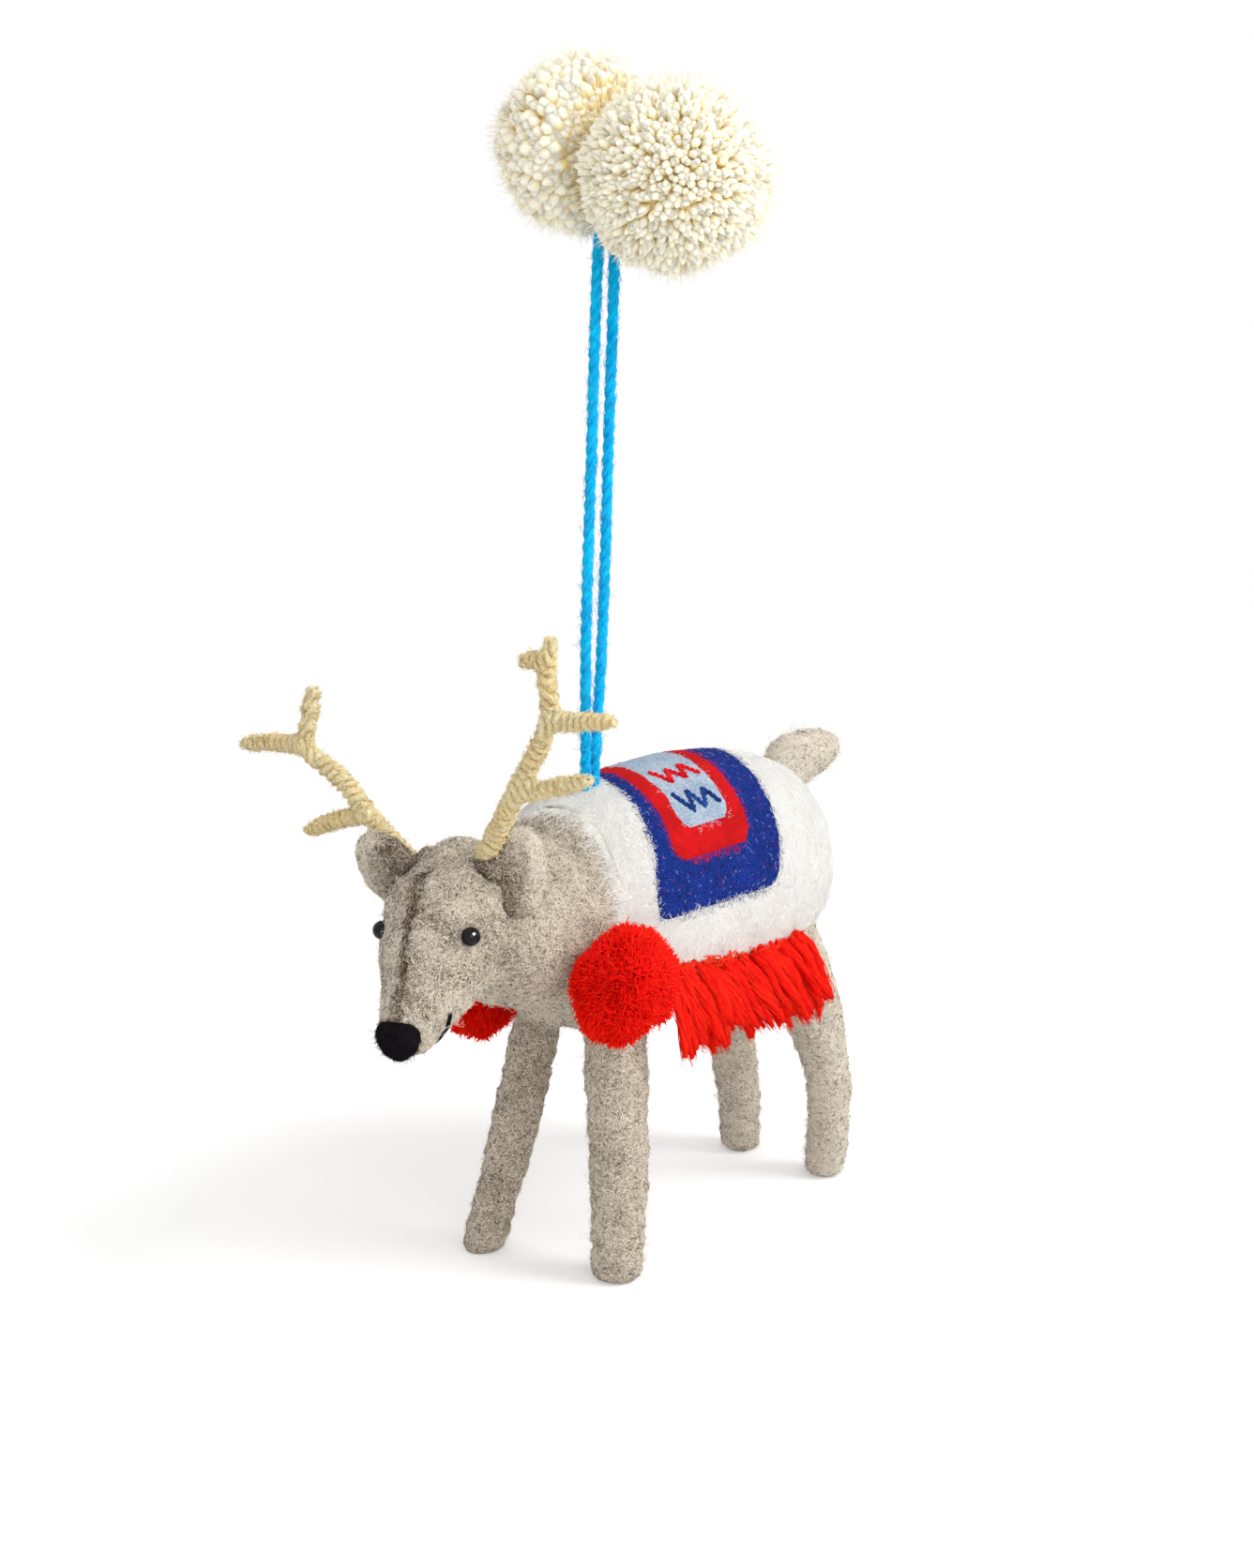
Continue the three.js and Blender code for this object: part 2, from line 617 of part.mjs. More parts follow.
const eyePlaces = [1, -1].map((side) => headPoint(EYE_FORWARD, side * EYE_ANGLE, EYE_PROUD));
const eyeSocket = ball(EYE_DIAMETER + 2 * CLEARANCE, SMALL_BALL_SIDES);
const eyeSockets = eyePlaces.map((spot) => place(eyeSocket, spot));
["left_eye", "right_eye"].forEach((name, index) => {
  add(headFrame, name, place(ball(EYE_DIAMETER, SMALL_BALL_SIDES), eyePlaces[index]), bead);
});

const noseForm = ellipsoid(NOSE_WIDTH, NOSE_LENGTH, NOSE_HEIGHT, BALL_SIDES);
noseForm.translate(0, HEAD_BACK - HEAD_LENGTH - NOSE_PROUD + NOSE_LENGTH / 2, -MUZZLE_DROP / 2);
add(headFrame, "nose", cut(noseForm, headForm(CLEARANCE)), blackFelt);

const mouthRise = MOUTH_DIAMETER / 2 + CLEARANCE;
const mouthPoints = [];
for (let share = -1; share <= 1; share += 0.25) {
  const forward = THREE.MathUtils.lerp(MOUTH_FORWARD, MOUTH_CORNER_FORWARD, share * share);
  const angle = 180 - share * (180 - MOUTH_CORNER_ANGLE);
  mouthPoints.push(headPoint(forward, angle, mouthRise));
}
const mouth = tube(smooth(mouthPoints), MOUTH_DIAMETER, WIRE_SIDES, MOUTH_STEPS);
add(headFrame, "mouth_stitch", mouth, blackFelt);

// Antlers: a beam and its tines, wound on wire

function taper(from, to) {
  return (share) => {
    const tip = share === 1 ? ANTLER_TIP_ROUNDING : 1;
    return (THREE.MathUtils.lerp(from, to, share) / 2) * tip;
  };
}

const antlerBores = [];
const antlerSeats = [];

function antler(name, root, beamPoints, tines) {
  const inward = root.clone().sub(point(beamPoints[0])).normalize();
  const wireFoot = root.clone().addScaledVector(inward, ANTLER_WIRE_DEPTH + CLEARANCE);
  const path = smooth([wireFoot, root, ...beamPoints]);
  const reach = path.getLength();
  const beamRun = stretch(path, ANTLER_BEAM_START, reach);
  const wireRun = stretch(path, CLEARANCE, reach - 2 * ANTLER_TIP_DIAMETER);
  const boreRun = stretch(path, 0, reach - 2 * ANTLER_TIP_DIAMETER + CLEARANCE);
  const bore = tube(boreRun, boreDiameter, WIRE_SIDES, ANTLER_WIRE_STEPS);
  const beamShape = (growth) => {
    const radiusAt = taper(ANTLER_BASE_DIAMETER + 2 * growth, ANTLER_TIP_DIAMETER + 2 * growth);
    return limb(beamRun, ANTLER_STEPS, ANTLER_SIDES, radiusAt);
  };
  antlerBores.push(bore);
  antlerSeats.push(beamShape(CLEARANCE));
  add(headFrame, `${name}_antler_beam`, cut(beamShape(0), headForm(CLEARANCE), bore), antlerYarn);
  const wire = tube(wireRun, WIRE_DIAMETER, WIRE_SIDES, ANTLER_WIRE_STEPS);
  add(headFrame, `${name}_antler_wire`, wire, steelWire);
  for (const [tineName, tinePoints] of tines) {
    const radiusAt = taper(TINE_BASE_DIAMETER, TINE_TIP_DIAMETER);
    const tine = limb(smooth(tinePoints), TINE_STEPS, ANTLER_SIDES, radiusAt);
    add(headFrame, `${name}_${tineName}_tine`, cut(tine, beamShape(CLEARANCE)), antlerYarn);
  }
}

const leftAntlerRoot = headPoint(-LEFT_ANTLER_BACK, LEFT_ANTLER_ANGLE, 0);
const rightAntlerRoot = headPoint(-RIGHT_ANTLER_BACK, -RIGHT_ANTLER_ANGLE, 0);
antler("left", leftAntlerRoot, LEFT_BEAM, [
  ["brow", LEFT_BROW_TINE],
  ["fork", LEFT_FORK_TINE],
  ["spur", LEFT_SPUR_TINE],
]);
antler("right", rightAntlerRoot, RIGHT_BEAM, [
  ["brow", RIGHT_BROW_TINE],
  ["fork", RIGHT_FORK_TINE],
]);

const toHead = headFrame.matrix.clone().invert();
const neckBoreInHead = neckBore.clone().applyMatrix4(toHead);
add(headFrame, "head", cut(headForm(0), ...eyeSockets, neckBoreInHead, ...antlerBores), greyFelt);
const antlerBoresBehind = antlerBores.map((bore) => bore.clone().applyMatrix4(headFrame.matrix));
const neckTools = [torsoSeat, headSeat, blanketForm(CLEARANCE), neckBore, ...antlerBoresBehind];
add(reindeer, "neck", cut(neckForm(0), ...neckTools), greyFelt);

// Ears: leaves with a cupped front, their roots cut to the head

function earForm(side, lean, turn) {
  const leaf = ellipsoid(EAR_WIDTH, EAR_THICKNESS, EAR_LENGTH, BALL_SIDES);
  const hollow = ellipsoid(EAR_CUP_WIDTH, 2 * EAR_CUP_DEPTH, EAR_CUP_LENGTH, SMALL_BALL_SIDES);
  hollow.translate(0, -EAR_THICKNESS / 2, EAR_CUP_RISE);
  const ear = cut(leaf, hollow);
  ear.translate(0, 0, EAR_RISE);
  ear.rotateZ(side * radians(turn));
  ear.rotateY(side * radians(EAR_TILT));
  ear.rotateX(-radians(lean));
  const root = headPoint(-EAR_BACK, side * EAR_ANGLE, 0);
  const neckSeat = neckForm(CLEARANCE).applyMatrix4(toHead);
  return cut(place(ear, root), headForm(CLEARANCE), neckSeat, ...antlerSeats);
}

add(headFrame, "left_ear", earForm(1, LEFT_EAR_LEAN, LEFT_EAR_TURN), greyFelt);
add(headFrame, "right_ear", earForm(-1, RIGHT_EAR_LEAN, RIGHT_EAR_TURN), greyFelt);

// Saddle blanket, with panels let into it and into one another

const skew = (angle) => (PANEL_SKEW * angle) / BLUE_REACH;
const blueSweep = sweptEdge(BLUE_FRONT, BLUE_FRONT_SWEEP, BLUE_REACH);
const blueTaper = sweptEdge(BLUE_REAR, PANEL_TAPER, BLUE_REACH);
const blueFront = (angle) => blueSweep(angle) - skew(angle);
const blueRear = (angle) => blueTaper(angle) - skew(angle);
const redFront = (angle) => BLUE_FRONT + RED_MARGIN - skew(angle);
const redRear = (angle) => blueRear(angle) - RED_REAR_MARGIN;
const lightFront = (angle) => redFront(angle) + LIGHT_BLUE_MARGIN;
const lightRear = (angle) => redRear(angle) - LIGHT_BLUE_MARGIN;

// A panel as thick as the blanket, or grown on all sides to cut its seat.
function panelForm(front, rear, reach, growth) {
  const grownFront = (angle) => front(angle) - growth;
  const grownRear = (angle) => rear(angle) + growth;
  const reachAt = () => reach + growth * degreesPerMillimetre;
  const low = blanketLow - 2 * growth;
  const high = blanketHigh + 2 * growth;
  return drape(grownFront, grownRear, reachAt, low, high, PANEL_ROWS, PANEL_COLUMNS);
}

const bluePanel = (growth) => panelForm(blueFront, blueRear, BLUE_REACH, growth);
const redPanel = (growth) => panelForm(redFront, redRear, RED_REACH, growth);
const lightBluePanel = (growth) => panelForm(lightFront, lightRear, LIGHT_BLUE_REACH, growth);
add(reindeer, "saddle_blanket", cut(blanketForm(0), bluePanel(CLEARANCE), cordHole), whiteFelt);
add(reindeer, "blue_panel", cut(bluePanel(0), redPanel(CLEARANCE), cordHole), blueFelt);
add(reindeer, "red_panel", cut(redPanel(0), lightBluePanel(CLEARANCE), cordHole), redFelt);
add(reindeer, "light_blue_panel", lightBluePanel(0), lightBlueFelt);

// A zigzag line of thread that runs along the panel at one angle from the spine.
function zigzagForm(angle) {
  const low = blanketHigh + CLEARANCE;
  const front = lightFront(angle) + ZIGZAG_INSET;
  const rear = lightRear(angle) - ZIGZAG_INSET;
  const line = (edge, height) => {
    const points = [];
    for (let turn = 0; turn <= ZIGZAG_TURNS; turn += 1) {
      const y = THREE.MathUtils.lerp(front, rear, turn / ZIGZAG_TURNS);
      const swing = (turn % 2 === 0 ? -0.5 : 0.5) * ZIGZAG_SWING + edge * ZIGZAG_WIDTH;
      points.push(torsoPoint(y, angle + swing * degreesPerMillimetre, height));
    }
    return points;
  };
  const rowsAt = (height) => {
    const near = line(-0.5, height);
    const far = line(0.5, height);
    return near.map((each, index) => [each, far[index]]);
  };
  return sheet(rowsAt(low + ZIGZAG_THICKNESS), rowsAt(low));
}

add(reindeer, "left_red_zigzag", zigzagForm(RED_ZIGZAG_ANGLE), redFelt);
add(reindeer, "left_navy_zigzag", zigzagForm(NAVY_ZIGZAG_ANGLE), navyThread);
add(reindeer, "right_red_zigzag", zigzagForm(-FAR_RED_ZIGZAG_ANGLE), redFelt);
add(reindeer, "right_navy_zigzag", zigzagForm(-FAR_NAVY_ZIGZAG_ANGLE), navyThread);

// Fringe: strands that hang from the blanket's lower edge, joined side by side

function fringeForm(front) {
  const strands = Math.round((FRINGE_REAR - front) / FRINGE_PITCH);
  const gapAngle = CLEARANCE * degreesPerMillimetre;
  const hemFront = BLANKET_FRONT - BLANKET_FRONT_SWEEP;
  const line = (y, height, length) => {
    const reach = hemReach((y - hemFront) / (BLANKET_REAR - hemFront));
    const top = torsoPoint(y, reach + gapAngle, height);
    const rows = [0, 0.5, 1];
    return rows.map((share) => {
      const flare = FRINGE_FLARE * Math.sqrt(share);
      return top.clone().add(new THREE.Vector3(flare, 0, -length * share));
    });
  };
  const outer = [];
  const inner = [];
  for (let edge = 0; edge <= 2 * strands; edge += 1) {
    const y = THREE.MathUtils.lerp(front, FRINGE_REAR, edge / (2 * strands));
    const length = edge % 2 === 0 ? FRINGE_LENGTH - FRINGE_NOTCH : FRINGE_LENGTH;
    outer.push(line(y, blanketHigh, length));
    inner.push(line(y, blanketLow, length));
  }
  return sheet(outer, inner);
}

add(reindeer, "left_fringe", fringeForm(LEFT_FRINGE_FRONT), redYarn);
add(reindeer, "right_fringe", mirrored(fringeForm(RIGHT_FRINGE_FRONT)), redYarn);

// Red pompoms, each on a tie from the blanket's front corner

function redPompom(side, name, tieY, tieAngle, hang) {
  const tieTop = torsoPoint(tieY, tieAngle, blanketHigh + CLEARANCE + RED_TIE_DIAMETER / 2);
  const centre = tieTop.clone().add(hang);
  const tiePath = new THREE.CatmullRomCurve3([tieTop, tieTop.clone().lerp(centre, 0.5), centre]);
  const boreRun = stretch(tiePath, 0, tiePath.getLength());
  const tieRun = stretch(tiePath, 0, tiePath.getLength() - CLEARANCE);
  const bore = tube(boreRun, RED_TIE_DIAMETER + 2 * CLEARANCE, WIRE_SIDES, TIE_STEPS);
  const pompom = ellipsoid(RED_POMPOM_DEPTH, RED_POMPOM_DIAMETER, RED_POMPOM_DIAMETER, BALL_SIDES);
  const seats = [blanketForm(CLEARANCE), torsoSeat, neckForm(CLEARANCE)];
  const shaped = cut(place(pompom, centre), ...seats, bore);
  const tie = tube(tieRun, RED_TIE_DIAMETER, WIRE_SIDES, TIE_STEPS);
  add(reindeer, `${name}_red_pompom`, side > 0 ? shaped : mirrored(shaped), redYarn);
  add(reindeer, `${name}_red_pompom_tie`, side > 0 ? tie : mirrored(mergeVertices(tie)), redYarn);
}

redPompom(1, "left", LEFT_RED_TIE_Y, LEFT_RED_TIE_ANGLE, LEFT_RED_POMPOM_HANG);
redPompom(-1, "right", RIGHT_RED_TIE_Y, RIGHT_RED_TIE_ANGLE, RIGHT_RED_POMPOM_HANG);

// Tail

const tailRadius = (share) => {
  const swell = Math.sin(Math.PI * THREE.MathUtils.lerp(TAIL_ROOT_SHARE, TAIL_TIP_SHARE, share));
  return (TAIL_DIAMETER / 2) * swell ** TAIL_FULLNESS;
};
const tailForm = limb(smooth(TAIL_PATH), TAIL_STEPS, LEG_SIDES, tailRadius);
add(reindeer, "tail", cut(tailForm, torsoSeat, blanketForm(CLEARANCE)), greyFelt);

// Hanging loop: two strands between the knot in the withers and the knot at the top

const baseKnot = baseKnotPlace.clone().sub(hangPlace);
const topStart = TOP_KNOT_DIAMETER / 2 + CLEARANCE;
const baseStart = BASE_KNOT_DIAMETER / 2 + CLEARANCE;

function strand(side) {
  const along = (height, spread) => {
    const share = (height - baseKnot.z) / -baseKnot.z;
    return new THREE.Vector3(0, baseKnot.y * (1 - share) + side * spread, height);
  };
  const points = [
    along(baseKnot.z + baseStart, STRAND_BASE_SPREAD),
    along(baseKnot.z + baseStart + STRAND_FOOT, STRAND_BASE_SPREAD),
    along(baseKnot.z + LOOP_LENGTH * STRAND_LOWER_SHARE, STRAND_MIDDLE_SPREAD),
    along(baseKnot.z + LOOP_LENGTH * STRAND_UPPER_SHARE, STRAND_MIDDLE_SPREAD),
    along(-topStart - STRAND_GATHER, STRAND_MIDDLE_SPREAD),
    along(-topStart - STRAND_NECK, STRAND_TOP_SPREAD),
    along(-topStart, STRAND_TOP_SPREAD),
  ];
  return tube(new THREE.CatmullRomCurve3(points), YARN_DIAMETER, CORD_SIDES, STRAND_STEPS);
}

add(ornament, "cord_front_strand", strand(-1), cordYarn);
add(ornament, "cord_rear_strand", strand(1), cordYarn);
add(ornament, "cord_top_knot", ball(TOP_KNOT_DIAMETER, SMALL_BALL_SIDES), cordYarn);
add(ornament, "cord_base_knot", place(ball(BASE_KNOT_DIAMETER, SMALL_BALL_SIDES), baseKnot), cordYarn);

// Cream pompoms: turned forms, flat where they meet, with a dish round the knot

function creamPompom(side, name, centre, diameter) {
  const radius = diameter / 2;
  const flat = Math.abs(centre.x) - CREAM_POMPOM_GAP / 2;
  const offset = Math.hypot(centre.y, centre.z);
  const dish = TOP_KNOT_DIAMETER / 2 + offset + CLEARANCE;
  const tieRadius = CREAM_TIE_DIAMETER / 2;
  const boreRadius = tieRadius + CLEARANCE;
  const tieStart = TOP_KNOT_DIAMETER / 2 + CLEARANCE;
  const boreEnd = tieStart + CREAM_TIE_LENGTH + CLEARANCE - Math.abs(centre.x);
  const dishFloor = dish - Math.abs(centre.x);
  const profile = [new THREE.Vector2(0, boreEnd), new THREE.Vector2(boreRadius, boreEnd)];
  profile.push(new THREE.Vector2(boreRadius, dishFloor));
  const shoulder = THREE.MathUtils.lerp(-flat, dishFloor, DISH_SHOULDER_DEPTH);
  profile.push(new THREE.Vector2(dish * DISH_SHOULDER_SHARE, shoulder));
  profile.push(new THREE.Vector2(dish, -flat));
  const rimStart = Math.asin(Math.min(flat / radius, 1));
  const arcSteps = BALL_SIDES / 2;
  for (let step = 0; step <= arcSteps; step += 1) {
    const turn = THREE.MathUtils.lerp(-rimStart, Math.PI / 2, step / arcSteps);
    const ringRadius = step === arcSteps ? 0 : radius * Math.cos(turn);
    profile.push(new THREE.Vector2(ringRadius, radius * Math.sin(turn)));
  }
  const form = new THREE.LatheGeometry(profile, BALL_SIDES);
  const tie = new THREE.CylinderGeometry(tieRadius, tieRadius, CREAM_TIE_LENGTH, CORD_SIDES);
  tie.translate(0, tieStart + CREAM_TIE_LENGTH / 2 - Math.abs(centre.x), 0);
  [form, tie].forEach((each) => each.rotateZ((-side * Math.PI) / 2));
  add(ornament, `${name}_cream_pompom`, place(form, centre), creamYarn);
  add(ornament, `${name}_cream_pompom_tie`, place(tie, centre), cordYarn);
}

creamPompom(1, "left", LEFT_CREAM_POMPOM_PLACE, LEFT_CREAM_POMPOM_DIAMETER);
creamPompom(-1, "right", RIGHT_CREAM_POMPOM_PLACE, RIGHT_CREAM_POMPOM_DIAMETER);

export default ornament;
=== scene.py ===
import math

import bmesh
import bpy
import numpy as np
from mathutils import Matrix, Vector, noise
from mathutils.bvhtree import BVHTree


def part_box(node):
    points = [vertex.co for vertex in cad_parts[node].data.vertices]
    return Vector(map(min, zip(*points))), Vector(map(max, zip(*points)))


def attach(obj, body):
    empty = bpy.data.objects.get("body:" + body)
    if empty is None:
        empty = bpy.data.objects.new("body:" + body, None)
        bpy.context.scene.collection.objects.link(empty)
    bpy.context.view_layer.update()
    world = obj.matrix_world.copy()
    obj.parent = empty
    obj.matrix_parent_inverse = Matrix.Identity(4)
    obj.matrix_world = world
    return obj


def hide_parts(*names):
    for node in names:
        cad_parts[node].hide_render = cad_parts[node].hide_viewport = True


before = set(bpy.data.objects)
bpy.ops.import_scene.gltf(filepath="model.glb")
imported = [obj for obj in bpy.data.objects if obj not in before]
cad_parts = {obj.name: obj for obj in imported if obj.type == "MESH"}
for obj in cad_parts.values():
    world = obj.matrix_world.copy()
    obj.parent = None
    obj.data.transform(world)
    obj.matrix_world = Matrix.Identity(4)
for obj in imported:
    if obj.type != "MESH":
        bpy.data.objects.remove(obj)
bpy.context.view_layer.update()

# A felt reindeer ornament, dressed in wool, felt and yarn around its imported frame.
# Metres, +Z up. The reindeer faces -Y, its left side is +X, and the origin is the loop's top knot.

MM = 0.001

# Camera, fitted to the soles, the cord and the blanket's corners
CAMERA_AZIMUTH = math.radians(41)
CAMERA_ELEVATION = math.radians(16)
CAMERA_ROLL = math.radians(1.2)
CAMERA_DISTANCE = 690 * MM
CAMERA_TARGET = Vector((-9.8, 19.0, -111.74)) * MM
LENS_MM = 90
SENSOR_MM = 36

# Hanging loop
YARN_DIAMETER = 1.9 * MM
LOOP_LENGTH = 112 * MM
LOOP_LEAN = 2.1 * MM
BASE_KNOT_DIAMETER = 6.8 * MM
TOP_KNOT_DIAMETER = 5.4 * MM
KNOT_GAP = 0.3 * MM
STRAND_BASE_SPREAD = 1.15 * MM
STRAND_MIDDLE_SPREAD = 2.1 * MM
STRAND_TOP_SPREAD = 1.3 * MM
STRAND_FOOT = 6 * MM
STRAND_LOWER_SHARE = 0.3
STRAND_UPPER_SHARE = 0.6
STRAND_GATHER = 16 * MM
STRAND_NECK = 3 * MM
STRAND_HAIRS = 420

# Shares of a yarn's diameter: how far its plies lie off its middle, and their radius
PLY_OFFSET = 0.25
PLY_RADIUS = 0.27

# Reindeer's own frame, whose floor is under its soles
CORD_BASE_Y = -1.9 * MM
SOLE_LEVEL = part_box("front_left_leg")[0].z
REINDEER_PLACE = np.array([0, -CORD_BASE_Y - LOOP_LEAN, SOLE_LEVEL])

# Torso, in the reindeer's frame
TORSO_LENGTH = 74 * MM
TORSO_WIDTH = 37 * MM
TORSO_HEIGHT = 42 * MM
TORSO_CENTRE_Y = 19 * MM
TORSO_CENTRE_Z = 61.5 * MM
CHEST_BLUNTNESS = 4
RUMP_BLUNTNESS = 2.3

# Saddle blanket and its panels, in degrees around the torso from the spine
BLANKET_LOW = 0.3 * MM
BLANKET_HIGH = 1.7 * MM
BLANKET_FRONT = -8 * MM
BLANKET_FRONT_SWEEP = 6 * MM
BLANKET_REAR = 47 * MM
BLANKET_REACH = 103
HEM_DROP = 15
HEM_WANDER = 0.5 * MM
BLANKET_EDGE = 1.4 * MM
PANEL_EDGE = 0.9 * MM
BLUE_FRONT = 1.8 * MM
BLUE_FRONT_SWEEP = 3 * MM
BLUE_REAR = 33 * MM
BLUE_REACH = 82
PANEL_TAPER = 2 * MM
PANEL_SKEW = 5 * MM
RED_MARGIN = 3 * MM
RED_REAR_MARGIN = 7.5 * MM
RED_REACH = 60
LIGHT_BLUE_MARGIN = 3.5 * MM
LIGHT_BLUE_REACH = 47
PANEL_RISE = 0.1 * MM
PANEL_DEPTH = 0.45 * MM
PANEL_RIM = 0.15 * MM
PANEL_FULL = 0.27 * MM
PANEL_STEP = 0.06 * MM
PANEL_CORNER = 3.4 * MM
ZIGZAG_TURNS = 5
ZIGZAG_SWING = 3.2 * MM
ZIGZAG_INSET = 2.2 * MM
ZIGZAG_DIAMETER = 1.1 * MM
RED_ZIGZAG_ANGLE = 15
NAVY_ZIGZAG_ANGLE = 33
FAR_RED_ZIGZAG_ANGLE = 30
FAR_NAVY_ZIGZAG_ANGLE = 40.5
FEATHER_COUNT = 3600

# Fringe
FRINGE_LAYERS = 4
FRINGE_SPACING = 1.2 * MM
FRINGE_RADIUS = 0.78 * MM
FRINGE_LENGTH = 12.6 * MM
FRINGE_FLARE = 6.4 * MM
FRINGE_WAVE = 0.7 * MM
CLUMP_PITCH = 5.6 * MM
LEFT_FRINGE_FRONT = -3 * MM
RIGHT_FRINGE_FRONT = 11 * MM
FRINGE_REAR = 39 * MM
LAST_ROOT = FRINGE_REAR - 5 * MM
TOP_HAIRS = 260


# Objects and the camera


def add(name, data):
    """A new object in the scene, from its mesh, camera or light."""
    made = bpy.data.objects.new(name, data)
    bpy.context.scene.collection.objects.link(made)
    return made


def make_camera():
    """The camera at the photograph's viewing angle."""
    az, el = CAMERA_AZIMUTH, CAMERA_ELEVATION
    back = Vector((math.sin(az) * math.cos(el), -math.cos(az) * math.cos(el), math.sin(el)))
    level = Vector((math.cos(az), math.sin(az), 0))
    rise = back.cross(level)
    right = level * math.cos(CAMERA_ROLL) + rise * math.sin(CAMERA_ROLL)
    up = rise * math.cos(CAMERA_ROLL) - level * math.sin(CAMERA_ROLL)
    data = bpy.data.cameras.new("camera")
    data.lens = LENS_MM
    data.sensor_fit = "VERTICAL"
    data.sensor_height = SENSOR_MM
    camera = add("camera", data)
    turn = Matrix((right, up, back)).transposed().to_4x4()
    camera.matrix_world = Matrix.Translation(CAMERA_TARGET + back * CAMERA_DISTANCE) @ turn
    bpy.context.scene.camera = camera
    return right, up, back


VIEW_RIGHT, VIEW_UP, VIEW_BACK = make_camera()


# Node tools for materials

PLAIN_WHITE = (1, 1, 1, 1)
FAINT_SHEEN = 0.03
LINE_CURL = 1.6


def tint(red, green, blue):
    """A colour read as 8-bit display values, as the shader's linear colour."""
    def linear(value):
        share = value / 255
        return share / 12.92 if share <= 0.04045 else ((share + 0.055) / 1.055) ** 2.4
    return (linear(red), linear(green), linear(blue), 1)


class Nodes:
    """A node tree, with calls that keep recipes short."""

    def __init__(self, tree):
        self.tree = tree

    def put(self, value, socket):
        """Sets a socket, or joins it to another node's output."""
        if isinstance(value, bpy.types.NodeSocket):
            self.tree.links.new(value, socket)
        else:
            socket.default_value = value

    def make(self, kind, inputs, **settings):
        """A new node with its settings, and its inputs by name or number."""
        node = self.tree.nodes.new("ShaderNode" + kind)
        for key, value in settings.items():
            setattr(node, key, value)
        for key, value in inputs.items():
            self.put(value, node.inputs[key])
        return node

    def math(self, kind, first, second=0.0, clamp=False):
        return self.make("Math", {0: first, 1: second}, operation=kind, use_clamp=clamp).outputs[0]

    def seen_directly(self):
        """1 for camera, mirror and glass rays, so that they see the plain background."""
        path = self.make("LightPath", {})
        most = path.outputs["Is Camera Ray"]
        for ray in ("Is Glossy Ray", "Is Transmission Ray"):
            most = self.math("MAXIMUM", most, path.outputs[ray])
        return most

    def blend(self, share, first, second, end):
        """Joins a mix of two shaders to the tree's end."""
        mixed = self.make("MixShader", {0: share, 1: first.outputs[0], 2: second.outputs[0]})
        self.put(mixed.outputs[0], self.tree.nodes[end].inputs["Surface"])


class Shader(Nodes):
    """A Principled material."""

    def __init__(self, name, roughness=0.95, sheen=0.0, sheen_tint=PLAIN_WHITE, gloss=0.05):
        self.material = bpy.data.materials.new(name)
        self.material.use_nodes = True
        super().__init__(self.material.node_tree)
        self.surface = self.tree.nodes["Principled BSDF"]
        self.set("Roughness", roughness)
        self.set("Specular IOR Level", gloss)
        self.set("Sheen Weight", sheen)
        self.set("Sheen Roughness", 0.5)
        self.set("Sheen Tint", sheen_tint)
        self.place = self.make("TexCoord", {}).outputs["Object"]

    def set(self, name, value):
        self.put(value, self.surface.inputs[name])

    def colour(self, value):
        self.set("Base Color", value)
        return self.material

    def noise(self, cell, shift, detail, distortion=0.0):
        """Noise with features of about one cell, in metres, moved aside by a shift in cells."""
        moved = {0: self.place, 1: (1 / cell,) * 3, 2: (shift, -shift, 2 * shift)}
        place = self.make("VectorMath", moved, operation="MULTIPLY_ADD").outputs[0]
        inputs = {"Vector": place, "Scale": 1, "Detail": detail, "Distortion": distortion}
        return self.make("TexNoise", inputs).outputs["Fac"]

    def span(self, value, low, high, start=0.0, end=1.0):
        """The value's way from low to high, eased, as start to end."""
        inputs = {"Value": value, "From Min": low, "From Max": high, "To Min": start, "To Max": end}
        return self.make("MapRange", inputs, interpolation_type="SMOOTHSTEP").outputs["Result"]

    def lines(self, cell, width, shift):
        """Thin curled lines, like single fibres that lie on the surface."""
        apart = self.math("SUBTRACT", self.noise(cell, shift, 1.0, LINE_CURL), 0.5)
        return self.span(self.math("ABSOLUTE", apart), 0.0, width, 1.0, 0.0)

    def tangle(self, loose, first, second):
        """Fibres in two layers, a tight one and one with loose cells, each with a shift of its own."""
        return self.math("MAXIMUM", self.lines(0.5 * MM, 0.05, first), self.lines(loose, 0.03, second))

    def mix(self, share, first, second):
        return self.make("Mix", {0: share, 6: first, 7: second}, data_type="RGBA").outputs[2]

    def attribute(self, name):
        return self.make("Attribute", {}, attribute_name=name).outputs["Fac"]

    def bump(self, height, depth, strength):
        inputs = {"Height": height, "Distance": depth, "Strength": strength}
        self.set("Normal", self.make("Bump", inputs).outputs["Normal"])


